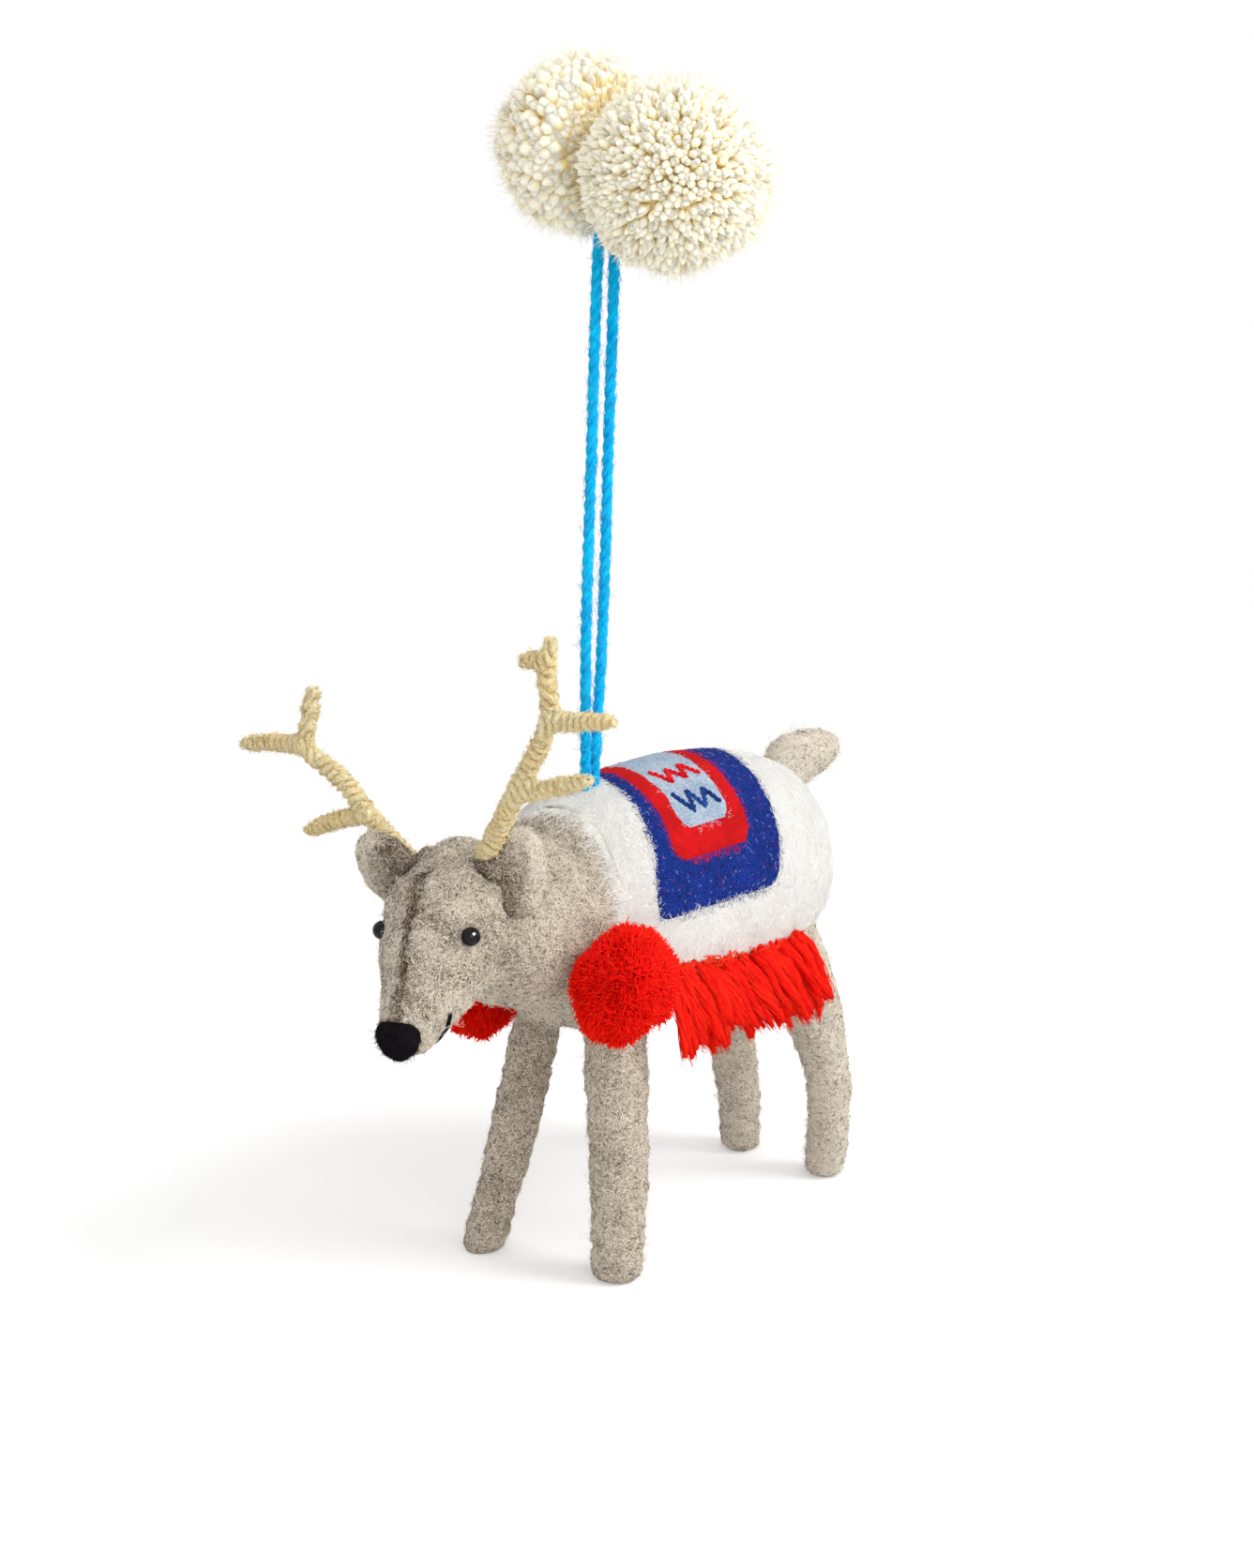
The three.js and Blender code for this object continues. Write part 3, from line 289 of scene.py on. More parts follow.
def wool(name, tones, flecks, toned=False, sheen=FAINT_SHEEN):
    """Felted wool in a deep, middle, pale and dark tone: mottled, with fine curled fibres."""
    deep, middle, pale, dark = (tint(*tone) for tone in tones)
    shader = Shader(name, sheen=sheen, sheen_tint=pale)
    cloud = shader.span(shader.noise(6 * MM, 3.1, 3.0), 0.38, 0.62)
    grain = shader.noise(0.42 * MM, 7.7, 2.0, 2.2)
    pepper = shader.span(grain, 0.34, 0.49, 1.0, 0.0)
    salt = shader.span(grain, 0.51, 0.65)
    pale_lines = shader.tangle(0.75 * MM, 11.3, 23.9)
    dark_lines = shader.tangle(0.8 * MM, 41.2, 57.4)
    darker = shader.math("MULTIPLY", shader.math("MAXIMUM", pepper, dark_lines), flecks)
    paler = shader.math("MULTIPLY", shader.math("MAXIMUM", salt, pale_lines), flecks)
    coloured = shader.mix(darker, shader.mix(cloud, deep, middle), dark)
    # The stored tone darkens the wool towards its dark tone or pales it towards its pale one: real patches,
    # and also painted shade and painted light.
    if toned:
        tone = shader.attribute("tone")
        shade = shader.math("MULTIPLY", tone, shader.span(grain, 0.38, 0.58, 1.25, 0.45), clamp=True)
        light = shader.math("MULTIPLY", tone, -1.0, clamp=True)
        coloured = shader.mix(light, shader.mix(shade, coloured, dark), pale)
        paler = shader.math("MULTIPLY", paler, shader.math("SUBTRACT", 1.0, shade, clamp=True))
    height = shader.math("SUBTRACT", shader.math("ADD", grain, pale_lines), dark_lines)
    shader.bump(height, 0.12 * MM, 0.8)
    return shader.colour(shader.mix(paler, coloured, pale))


def strands(name, *colour):
    """Single fibres of one colour."""
    return Shader(name, roughness=0.8).colour(tint(*colour))


def yarn_wool(name, deep, bright):
    """Spun wool: streaked, and a little darker in its hollows as painted shade."""
    shader = Shader(name, sheen=FAINT_SHEEN, sheen_tint=tint(*bright))
    cloud = shader.span(shader.noise(2.4 * MM, 5.3, 2.0), 0.34, 0.66)
    streaks = shader.span(shader.noise(0.6 * MM, 17.9, 2.0, 1.2), 0.34, 0.66)
    both = shader.math("MULTIPLY", shader.math("ADD", cloud, streaks), 0.5)
    shader.bump(streaks, 0.1 * MM, 0.7)
    # The streaks set both the bump and the colour, so the yarn's hollows take its deep colour as painted
    # shade.
    return shader.colour(shader.mix(both, tint(*deep), tint(*bright)))


def tipped_wool(name, root, tip, start, glow_through, sheen=FAINT_SHEEN):
    """Cut yarn whose colour deepens towards its root, by a stored share along it, as painted shade between
    the yarn ends.
    """
    shader = Shader(name, sheen=sheen, sheen_tint=tint(*tip))
    shader.set("Subsurface Weight", glow_through)
    shader.set("Subsurface Radius", (1.0, 0.85, 0.6))
    shader.set("Subsurface Scale", 3 * MM)
    # The share along the yarn moves its colour from root to tip: the deeper root colour is painted shade
    # between the yarn ends.
    way = shader.span(shader.attribute("along"), start, 0.95)
    grain = shader.span(shader.noise(0.5 * MM, 9.1, 2.0), 0.3, 0.7, 0.0, 0.25)
    share = shader.math("SUBTRACT", way, grain, clamp=True)
    shader.bump(grain, 0.1 * MM, 0.6)
    return shader.colour(shader.mix(share, tint(*root), tint(*tip)))


# Colours, as 8-bit display values; wool has a deep, a middle, a pale and a dark tone
GREY_TONES = (186, 163, 133), (218, 199, 171), (252, 244, 228), (80, 59, 42)
WHITE_TONES = (243, 241, 236), (249, 248, 244), (253, 252, 250), (222, 216, 208)
BLACK_TONES = (12, 10, 13), (18, 15, 19), (40, 34, 40), (4, 4, 5)
STRAW_TONES = (255, 226, 146), (255, 243, 194), (255, 250, 224), (142, 110, 72)
BLUE_TONES = (4, 24, 100), (6, 38, 130), (34, 74, 184), (6, 12, 50)
RED_TONES = (206, 6, 12), (230, 12, 18), (242, 36, 34), (160, 2, 10)
SKY_TONES = (152, 180, 212), (184, 206, 229), (228, 237, 246), (84, 112, 150)

GREY_WOOL = wool("grey_wool", GREY_TONES, 0.95, toned=True, sheen=0.15)
BLACK_WOOL = wool("black_wool", BLACK_TONES, 0.4)
ANTLER_WOOL = wool("antler_wool", STRAW_TONES, 0.35, toned=True)
WHITE_WOOL = wool("white_wool", WHITE_TONES, 0.4)
BLUE_WOOL = wool("blue_wool", BLUE_TONES, 0.9)
RED_WOOL = wool("red_wool", RED_TONES, 0.4)
LIGHT_BLUE_WOOL = wool("light_blue_wool", SKY_TONES, 0.85)
NAVY_THREAD = yarn_wool("navy_thread", (18, 42, 104), (38, 80, 154))
RED_THREAD = yarn_wool("red_thread", (196, 10, 24), (232, 30, 38))
FRINGE_YARN = yarn_wool("fringe_yarn", (214, 7, 1), (242, 27, 5))
CORD_YARN = yarn_wool("cord_yarn", (0, 152, 212), (16, 194, 238))
# Pompom yarn: the root colour is painted shade between the yarn ends, yellow in the cream pompoms.
RED_YARN = tipped_wool("red_yarn", (252, 4, 1), (255, 6, 2), 0.3, 0.5)
CREAM_YARN = tipped_wool("cream_yarn", (255, 226, 150), (255, 251, 230), 0.4, 0.55, sheen=0.2)
PALE_FIBRE = strands("pale_fibre", 250, 242, 227)
BROWN_FIBRE = strands("brown_fibre", 76, 58, 42)
TAN_FIBRE = strands("tan_fibre", 186, 142, 78)
WHITE_FIBRE = strands("white_fibre", 250, 248, 242)
BLUE_FIBRE = strands("blue_fibre", 24, 50, 140)
MAGENTA_FIBRE = strands("magenta_fibre", 150, 40, 104)
RED_FIBRE = strands("red_fibre", 228, 16, 14)
# Orange fibres: part real colour, part painted highlight on the red yarn.
ORANGE_FIBRE_AND_HIGHLIGHT = strands("orange_fibre_and_highlight", 250, 58, 18)
LIGHT_BLUE_FIBRE = strands("light_blue_fibre", 196, 216, 236)
GOLD_FIBRE = strands("gold_fibre", 255, 236, 184)
BLACK_FIBRE = strands("black_fibre", 18, 15, 19)
CORD_FIBRE = strands("cord_fibre", 60, 186, 236)
CREAM_FIBRE = strands("cream_fibre", 255, 248, 228)


def bead_material():
    """Polished black bead with faint scuffs in its gloss."""
    shader = Shader("bead", gloss=0.25)
    shader.set("Roughness", shader.span(shader.noise(0.8 * MM, 4.4, 3.0), 0.45, 0.7, 0.03, 0.09))
    return shader.colour(tint(4, 4, 5))


def wire_material():
    """Drawn steel wire, with fine marks along it."""
    shader = Shader("steel_wire", roughness=0.35)
    marks = shader.span(shader.noise(0.3 * MM, 2.2, 3.0), 0.3, 0.7)
    shader.set("Metallic", 1)
    return shader.colour(shader.mix(marks, tint(120, 122, 128), tint(172, 174, 178)))


# Mesh tools

FIBRE_SPREAD = 0.45
FIBRE_CURL = 0.35
FREE_SHARE = 0.4
FIBRE_SINK = 0.04 * MM


def coat(mesh, material, smooth=True):
    """Gives a mesh its one material and its shading."""
    mesh.polygons.foreach_set("use_smooth", np.full(len(mesh.polygons), smooth))
    mesh.materials.clear()
    mesh.materials.append(material)


def build(name, places, faces, material, smooth=True):
    """An object from an array of points and arrays of faces, each with one corner count."""
    mesh = bpy.data.meshes.new(name)
    loops = np.concatenate([face.ravel() for face in faces])
    totals = np.concatenate([np.full(len(face), face.shape[1]) for face in faces])
    mesh.vertices.add(len(places))
    mesh.vertices.foreach_set("co", np.asarray(places, np.float32).ravel())
    mesh.loops.add(len(loops))
    mesh.loops.foreach_set("vertex_index", loops.astype(np.int32))
    mesh.polygons.add(len(totals))
    mesh.polygons.foreach_set("loop_start", (np.cumsum(totals) - totals).astype(np.int32))
    mesh.polygons.foreach_set("loop_total", totals.astype(np.int32))
    coat(mesh, material, smooth)
    mesh.update(calc_edges=True)
    mesh.validate()
    return add(name, mesh)


def ball(name, material):
    """A smooth ball of radius 1 about the origin."""
    shape = bmesh.new()
    bmesh.ops.create_icosphere(shape, subdivisions=4, radius=1)
    mesh = bpy.data.meshes.new(name)
    shape.to_mesh(mesh)
    shape.free()
    coat(mesh, material)
    return add(name, mesh)


def dress(piece, slot, *nodes, body="reindeer"):
    """Makes a piece ride on a body in place of CAD nodes, which it hides; the slot argument is not used."""
    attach(piece, body)
    if nodes:
        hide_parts(*nodes)
    return piece


def store(piece, name, values):
    """Keeps one number for each point of a piece, for its material."""
    attribute = piece.data.attributes.new(name, "FLOAT", "POINT")
    attribute.data.foreach_set("value", np.asarray(values, np.float32).ravel())


def unit(vectors):
    return vectors / np.maximum(np.linalg.norm(vectors, axis=-1, keepdims=True), 1e-12)


def ease(value):
    share = np.clip(value, 0, 1)
    return share * share * (3 - 2 * share)


def reaches(route):
    """The way from a route's start to each of its places."""
    return np.concatenate([[0], np.cumsum(np.linalg.norm(np.diff(route, axis=0), axis=1))])


def spline(stops, count):
    """Evenly spaced places on a smooth curve through given stops."""
    stops = np.asarray(stops, float)
    ends = np.concatenate([[2 * stops[0] - stops[1]], stops, [2 * stops[-1] - stops[-2]]])
    steps = np.linspace(0, 1, 24, endpoint=False)[:, None]
    runs = []
    for a, b, c, d in zip(ends[:-3], ends[1:-2], ends[2:-1], ends[3:]):
        cubic = (-a + 3 * b - 3 * c + d) * steps**3
        square = (2 * a - 5 * b + 4 * c - d) * steps**2
        runs.append(0.5 * (cubic + square + (c - a) * steps + 2 * b))
    fine = np.concatenate([*runs, stops[-1:]])
    reach = reaches(fine)
    wanted = np.linspace(0, reach[-1], count)
    return np.stack([np.interp(wanted, reach, fine[:, axis]) for axis in range(3)], axis=1)


def tubes(paths, radii, sides, rng):
    """Points and faces of closed tubes, one for each path of equally many points."""
    count, rings, _ = paths.shape
    along = unit(np.gradient(paths, axis=1))
    hint = rng.normal(size=(count, 1, 3))
    across = unit(hint - (hint * along).sum(2, keepdims=True) * along)
    over = np.cross(along, across)
    turn = 2 * np.pi * np.arange(sides)[:, None] / sides
    spokes = across[:, :, None] * np.cos(turn) + over[:, :, None] * np.sin(turn)
    places = paths[:, :, None] + radii[:, :, None, None] * spokes
    index = np.arange(count * rings * sides).reshape(count, rings, sides)
    here, there = index[:, :-1], index[:, 1:]
    quads = np.stack([here, np.roll(here, -1, 2), np.roll(there, -1, 2), there], axis=-1)
    return places.reshape(-1, 3), [quads.reshape(-1, 4), index[:, 0, ::-1], index[:, -1]]


def rows_of(items, name, kind=np.float32, width=3):
    """One row of numbers for each of a mesh's items."""
    values = np.empty(len(items) * width, kind)
    items.foreach_get(name, values)
    return values.reshape(-1, width)


def points(piece):
    return rows_of(piece.data.vertices, "co").astype(float)


def normals_of(piece):
    return rows_of(piece.data.vertex_normals, "vector").astype(float)


def scatter(piece, density, rng, keep=None):
    """Random spots on a piece, density of them for each square millimetre, and their normals."""
    places, normals = points(piece), normals_of(piece)
    piece.data.calc_loop_triangles()
    corners = rows_of(piece.data.loop_triangles, "vertices", np.int32)
    a, b, c = (places[corners[:, corner]] for corner in range(3))
    areas = np.linalg.norm(np.cross(b - a, c - a), axis=1) / 2
    count = int(areas.sum() / MM**2 * density)
    chosen = rng.choice(len(corners), count, p=areas / areas.sum())
    first, second = np.sqrt(rng.random((count, 1))), rng.random((count, 1))
    shares = np.stack([1 - first, first * (1 - second), first * second], axis=1)
    spots = (places[corners[chosen]] * shares).sum(1)
    facing = unit((normals[corners[chosen]] * shares).sum(1))
    if keep is None:
        return spots, facing
    kept = keep(spots)
    return spots[kept], facing[kept]


def lay_fibres(spots, facing, length, lift, rng, grain=None, rings=3):
    """Paths of curled fibres that lie on a surface, some with one end standing off it."""
    count = len(spots)
    heading = rng.normal(size=(count, 3))
    if grain is not None:
        heading = heading * FIBRE_SPREAD + grain
    along = unit(heading - (heading * facing).sum(1, keepdims=True) * facing)
    aside = np.cross(facing, along)
    way = np.linspace(-0.5, 0.5, rings)[None, :, None]
    sizes = length * rng.uniform(0.5, 1.5, (count, 1, 1))
    curl = rng.normal(0, FIBRE_CURL, (count, 1, 1)) * (4 * way**2 - 0.5)
    free = rng.random((count, 1, 1)) < FREE_SHARE
    arch = np.where(free, (way + 0.5) ** 1.6, np.sin(np.pi * (way + 0.5)))
    height = lift * rng.gamma(1.6, 0.6, (count, 1, 1)) * arch - FIBRE_SINK
    return (
        spots[:, None]
        + along[:, None] * way * sizes
        + aside[:, None] * curl * sizes
        + facing[:, None] * height
    )


def fuzz(name, paths, diameter, material, slot, rng, body="reindeer"):
    """Fibres along given paths, thin at their ends."""
    rings = paths.shape[1]
    taper = 0.35 + 0.65 * np.sin(np.pi * np.linspace(0.12, 0.92, rings))
    radii = diameter / 2 * taper[None] * rng.uniform(0.6, 1.3, (len(paths), 1))
    return dress(build(name, *tubes(paths, radii, 3, rng), material), slot, body=body)


def felted(name, piece, density, length, lift, diameter, material, slot, rng, keep=None, grain=None, rings=3):
    """Fibres that lie on a piece of the reindeer, where they are kept, and along a grain."""
    spots, facing = scatter(piece, density, rng, keep)
    way = None if grain is None else grain(spots)
    paths = lay_fibres(spots, facing, length, lift, rng, way, rings)
    fuzz(name, paths, diameter, material, slot, rng)


# Skins over the CAD solids

SMOOTH_STEP = 0.5
SWELL_BACK = 0.52
SEAM_ROUNDS = 60


def welded(nodes, growth):
    """One mesh of CAD solids, each grown a little so that neighbours meet."""
    whole = bmesh.new()
    for node in nodes:
        part = bmesh.new()
        part.from_mesh(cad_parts[node].data)
        bmesh.ops.remove_doubles(part, verts=part.verts, dist=0.001 * MM)
        part.normal_update()
        for vertex in part.verts:
            vertex.co += vertex.normal * growth
        copy = bpy.data.meshes.new("copy")
        part.to_mesh(copy)
        part.free()
        whole.from_mesh(copy)
        bpy.data.meshes.remove(copy)
    mesh = bpy.data.meshes.new("whole")
    whole.to_mesh(mesh)
    whole.free()
    return mesh


def averages(places, edges, counts):
    """The middle of each point's neighbours."""
    sums = np.zeros_like(places)
    for axis in range(3):
        sums[:, axis] = np.bincount(edges[:, 0], places[edges[:, 1], axis], len(places))
        sums[:, axis] += np.bincount(edges[:, 1], places[edges[:, 0], axis], len(places))
    return sums / counts


def seam_weights(places, nodes, reach):
    """1 where two of the CAD solids meet, falling to 0 at a reach from there."""
    trees = []
    for node in nodes:
        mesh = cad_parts[node].data
        mesh.calc_loop_triangles()
        corners = [tuple(t.vertices) for t in mesh.loop_triangles]
        trees.append(BVHTree.FromPolygons([v.co for v in mesh.vertices], corners))
    gaps = np.full((len(places), len(nodes)), reach)
    for row, place in enumerate(places):
        for column, tree in enumerate(trees):
            found = tree.find_nearest(Vector(place), reach)
            if found[3] is not None:
                gaps[row, column] = found[3]
    second = np.sort(gaps, axis=1)[:, 1]
    return np.clip(1 - second / reach, 0, 1)[:, None]


def skin(name, nodes, voxel, material, growth=0.25 * MM, rounds=12, seam=0.0):
    """A smooth closed skin over CAD solids, with their meeting lines filled out."""
    mesh = welded(nodes, growth)
    piece = add(name, mesh)
    remesh = piece.modifiers.new("remesh", "REMESH")
    remesh.mode = "VOXEL"
    remesh.voxel_size = voxel
    graph = bpy.context.evaluated_depsgraph_get()
    piece.data = bpy.data.meshes.new_from_object(piece.evaluated_get(graph))
    piece.modifiers.clear()
    piece.data.name = name
    bpy.data.meshes.remove(mesh)
    places = points(piece)
    edges = rows_of(piece.data.edges, "vertices", np.int32, 2)
    counts = np.maximum(np.bincount(edges.ravel(), minlength=len(places)), 1)[:, None]
    for _ in range(rounds):
        places = places + SMOOTH_STEP * (averages(places, edges, counts) - places)
        places = places - SWELL_BACK * (averages(places, edges, counts) - places)
    if seam:
        weights = SMOOTH_STEP * seam_weights(places, nodes, seam)
        for _ in range(SEAM_ROUNDS):
            places = places + weights * (averages(places, edges, counts) - places)
    reshape(piece, places)
    coat(piece.data, material)
    return piece


def reshape(piece, places):
    """Moves a piece's points to new places."""
    piece.data.vertices.foreach_set("co", places.astype(np.float32).ravel())
    piece.data.update()


def swell(piece, amount):
    """Moves each point along its normal by an amount of its own."""
    reshape(piece, points(piece) + normals_of(piece) * amount[:, None])


def lumps(places, size, seed):
    """Soft lumps, from about -1 to 1, with a size in metres."""
    shift = Vector((seed, 2 * seed, -seed))
    return np.array([noise.noise(Vector(place) / size + shift) for place in places])


def centre(node):
    low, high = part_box(node)
    return np.array((low + high) / 2)


def long_axis(node):
    """A CAD solid's points, their middle, and its longest direction with two across that."""
    places = np.array([vertex.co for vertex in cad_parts[node].data.vertices])
    middle = places.mean(0)
    _, _, axes = np.linalg.svd(places - middle, full_matrices=False)
    return places, middle, axes


# Torso surface, as in the CAD source: a place along Y, degrees from the spine and a height off it


def torso_skin(y, angle):
    along = np.clip((y - TORSO_CENTRE_Y) / (TORSO_LENGTH / 2), -0.9999, 0.9999)
    blunt = np.where(along < 0, CHEST_BLUNTNESS, RUMP_BLUNTNESS)
    fullness = (1 - np.abs(along) ** blunt) ** (1 / blunt)
    turn = np.radians(angle)
    x = TORSO_WIDTH / 2 * fullness * np.sin(turn)
    z = TORSO_CENTRE_Z + TORSO_HEIGHT / 2 * fullness * np.cos(turn)
    return np.stack([x, y + np.zeros_like(x), z], axis=-1)


def torso_point(y, angle, height):
    y, angle, height = np.broadcast_arrays(y, angle, height)
    nudge = 0.01 * MM
    turn = 0.01
    along = torso_skin(y + nudge, angle) - torso_skin(y - nudge, angle)
    around = torso_skin(y, angle + turn) - torso_skin(y, angle - turn)
    outward = unit(np.cross(around, along))
    return torso_skin(y, angle) + outward * height[..., None] + REINDEER_PLACE


def torso_angle(places):
    """Degrees from the spine of points in the scene, and their places along the torso's Y."""
    own = places - REINDEER_PLACE
    across = own[:, 0] / TORSO_WIDTH
    rise = (own[:, 2] - TORSO_CENTRE_Z) / TORSO_HEIGHT
    return np.degrees(np.arctan2(across, rise)), own[:, 1]


# Way around the torso that one degree takes
DEGREE = math.radians(1) * TORSO_WIDTH / 2


# Hanging loop


def strand_route(side):
    """The centreline of one strand, from the knot in the withers up to the knot at the top."""
    bottom, top = -LOOP_LENGTH, 0
    foot = bottom + BASE_KNOT_DIAMETER / 2 + KNOT_GAP
    head = top - TOP_KNOT_DIAMETER / 2 - KNOT_GAP

    def along(height, spread):
        share = (height - bottom) / LOOP_LENGTH
        return [0, -LOOP_LEAN * (1 - share) + side * spread, height]

    stops = [
        along(foot, STRAND_BASE_SPREAD),
        along(foot + STRAND_FOOT, STRAND_BASE_SPREAD),
        along(bottom + LOOP_LENGTH * STRAND_LOWER_SHARE, STRAND_MIDDLE_SPREAD),
        along(bottom + LOOP_LENGTH * STRAND_UPPER_SHARE, STRAND_MIDDLE_SPREAD),
        along(head - STRAND_GATHER, STRAND_MIDDLE_SPREAD),
        along(head - STRAND_NECK, STRAND_TOP_SPREAD),
        along(head, STRAND_TOP_SPREAD),
    ]
    return spline(stops, 140)


def plied(route, diameter, plies, pitch):
    """The centrelines of a yarn's plies, wound around a route."""
    along = unit(np.gradient(route, axis=0))
    across = unit(np.cross(along, [1.0, 0.3, 0.1]))
    over = np.cross(along, across)
    steps = reaches(route)
    paths = []
    for ply in range(plies):
        turn = 2 * np.pi * (steps / pitch + ply / plies)
        offset = across * np.cos(turn)[:, None] + over * np.sin(turn)[:, None]
        paths.append(route + offset * diameter * PLY_OFFSET)
    return np.array(paths)


def yarn(name, route, diameter, material, rng, plies=3, pitch=7 * MM, sides=8):
    """A plied yarn along a route."""
    paths = plied(route, diameter, plies, pitch)
    radii = np.full(paths.shape[:2], diameter * PLY_RADIUS)
    return build(name, *tubes(paths, radii, sides, rng), material)


def knot(name, node, diameter, rng):
    """An overhand knot: yarn that winds three times round and through itself."""
    turn = np.linspace(0, 2 * np.pi, 90)
    x = np.sin(turn) + 2 * np.sin(2 * turn)
    y = np.cos(turn) - 2 * np.cos(2 * turn)
    z = -np.sin(3 * turn)
    shape = np.stack([x, y, z], axis=1) / 3 * (diameter - YARN_DIAMETER) / 2
    route = shape + centre(node)
    radii = np.full((1, len(route)), YARN_DIAMETER * 0.52)
    return build(name, *tubes(route[None], radii, 8, rng), CORD_YARN)


def make_loop():
    rng = np.random.default_rng(11)
    for name, node, diameter, body in (
        ("top_knot", "cord_top_knot", TOP_KNOT_DIAMETER, "hanger"),
        ("base_knot", "cord_base_knot", BASE_KNOT_DIAMETER, "base_knot"),
    ):
        dress(knot(name, node, diameter, rng), "cord_yarn", node, body=body)
    for side, name in ((-1, "front"), (1, "rear")):
        route = strand_route(side)
        strand = yarn(f"{name}_strand_yarn", route, YARN_DIAMETER, CORD_YARN, rng)
        dress(strand, "cord_yarn", f"cord_{name}_strand", body="loop")
        spots = route[rng.integers(4, len(route) - 4, STRAND_HAIRS)]
        facing = unit(rng.normal(size=spots.shape) * [1, 1, 0.1])
        spots = spots + facing * YARN_DIAMETER * 0.47
        paths = lay_fibres(spots, facing, 3 * MM, 0.2 * MM, rng, np.array([0, 0, 1.0]))
        hairs = fuzz(f"{name}_strand_fuzz", paths, 0.09 * MM, CORD_FIBRE, "cord_yarn", rng, "loop")


make_loop()


# Grey wool body

LEGS = ("front_left_leg", "front_right_leg", "hind_left_leg", "hind_right_leg")
BODY_NODES = ("torso", "neck", "head", *LEGS, "tail")
NOSE_CLEAR = 5.2 * MM
EYE_CLEAR = 2.5 * MM
SOLE_CLEAR = 0.8 * MM
FOOT_ROUNDING = 2.4 * MM
FOOT_REACH = 8 * MM
FOOT_DRAW = 0.38
LEG_HEIGHT = 42 * MM
LEG_WINDING_PITCH = 3.3 * MM
LEG_WINDING_DEPTH = 0.12 * MM
NECK_FOLD_PITCH = 6.2 * MM
NECK_FOLD_DEPTH = 0.55 * MM
NECK_REACH = 130
RIDGE_WIDTH = 1.2 * MM
RIDGE_WANDER = 0.9 * MM
RIDGE_LENGTH = 28 * MM

# Fibres in the grey wool: label, material, share, length, lift, diameter and rings
HEATHER = (
    ("pale", PALE_FIBRE, 1.0, 0.95 * MM, 0.18 * MM, 0.1 * MM, 3),
    ("brown", BROWN_FIBRE, 1.1, 0.8 * MM, 0.108 * MM, 0.11 * MM, 3),
    ("stray", PALE_FIBRE, 0.5, 1.8 * MM, 0.54 * MM, 0.06 * MM, 4),
)


def blanket_front(angle):
    return BLANKET_FRONT - BLANKET_FRONT_SWEEP * np.minimum(np.abs(angle) / BLANKET_REACH, 1) ** 2


def hem_reach(share):
    """How far around the torso the blanket goes, at a share of its way from front to rear."""
    return BLANKET_REACH + HEM_DROP * (1 - (1 - share) ** 3)


def hem_reach_at(y):
    front = BLANKET_FRONT - BLANKET_FRONT_SWEEP
    return hem_reach(np.clip((y - front) / (BLANKET_REAR - front), 0, 1))


def head_frame():
    """The head's middle and its forward, left and up directions, from its eyes and nose."""
    middle = centre("head")
    forward = unit(centre("nose") - middle)
    left = centre("left_eye") - centre("right_eye")
    left = unit(left - (left @ forward) * forward)
    return middle, forward, left, np.cross(forward, left)


HEAD_MIDDLE, HEAD_FORWARD, HEAD_LEFT, HEAD_UP = head_frame()


def muzzle_ridge(places):
    """1 along the dark stripe on the muzzle's ridge, which wanders a little."""
    own = places - HEAD_MIDDLE
    ahead, aside, above = own @ HEAD_FORWARD, own @ HEAD_LEFT, own @ HEAD_UP
    wander = RIDGE_WANDER * lumps(places, 7 * MM, 1.9)
    ridge = np.exp(-(((aside - wander) / RIDGE_WIDTH) ** 2)) * ease((above + 2 * MM) / (4 * MM))
    return ridge * ease((ahead + 9 * MM) / (8 * MM)) * (np.linalg.norm(own, axis=1) < RIDGE_LENGTH)


def body_tone_and_shade(places):
    """How dark the wool is, or pale below 0: a ridge stripe, a collar of darker wool and painted contact
    shade, soft blotches, brow patches, painted shade on the far legs, painted light on the hind parts, and
    lower legs darkened by dirt and painted shade.
    """
    own = places - REINDEER_PLACE
    ridge = 0.6 * muzzle_ridge(places) * np.clip(1 + 1.2 * lumps(places, 2.6 * MM, 6.7), 0, 1.5)
    angle, y = torso_angle(places)
    edge = blanket_front(angle) - y
    # Collar: part darker wool, part painted contact shade where the neck tucks under the blanket's front
    # edge.
    collar_and_contact_shade = np.exp(-np.clip(edge, 0, None) / (1.6 * MM)) * (np.abs(angle) < BLANKET_REACH) * (edge > -2 * MM)
    collar_and_contact_shade = collar_and_contact_shade * (0.6 + 0.8 * lumps(places, 3 * MM, 12.1))
    blotch = np.clip(lumps(places, 6 * MM, 3.3), 0, 1) * 0.35
    patches = np.clip(0.5 + lumps(places, 5 * MM, 9.2), 0, 1)
    brow = 0.62 * patches * ease((-own[:, 1] - 28 * MM) / (10 * MM)) * ease((own[:, 2] - 52 * MM) / (16 * MM))
    # Painted shade: the far side's legs are darker below the body.
    far_leg_shade = 0.22 * (own[:, 0] < 2 * MM) * ease((46 * MM - own[:, 2]) / (10 * MM))
    # Painted light: the hind parts and tail are paler towards the rear.
    hind = -0.42 * ease((own[:, 1] - 24 * MM) / (12 * MM))
    # Blotchy darkening of the lower legs: part dirt, part painted shade.
    lower_leg_dirt_and_shade = 0.3 * np.clip(lumps(places, 4 * MM, 7.4), 0, 1) * ease((LEG_HEIGHT - own[:, 2]) / (10 * MM))
    return np.clip(ridge + 0.45 * collar_and_contact_shade + blotch + brow + far_leg_shade + hind + lower_leg_dirt_and_shade, -0.4, 0.95)


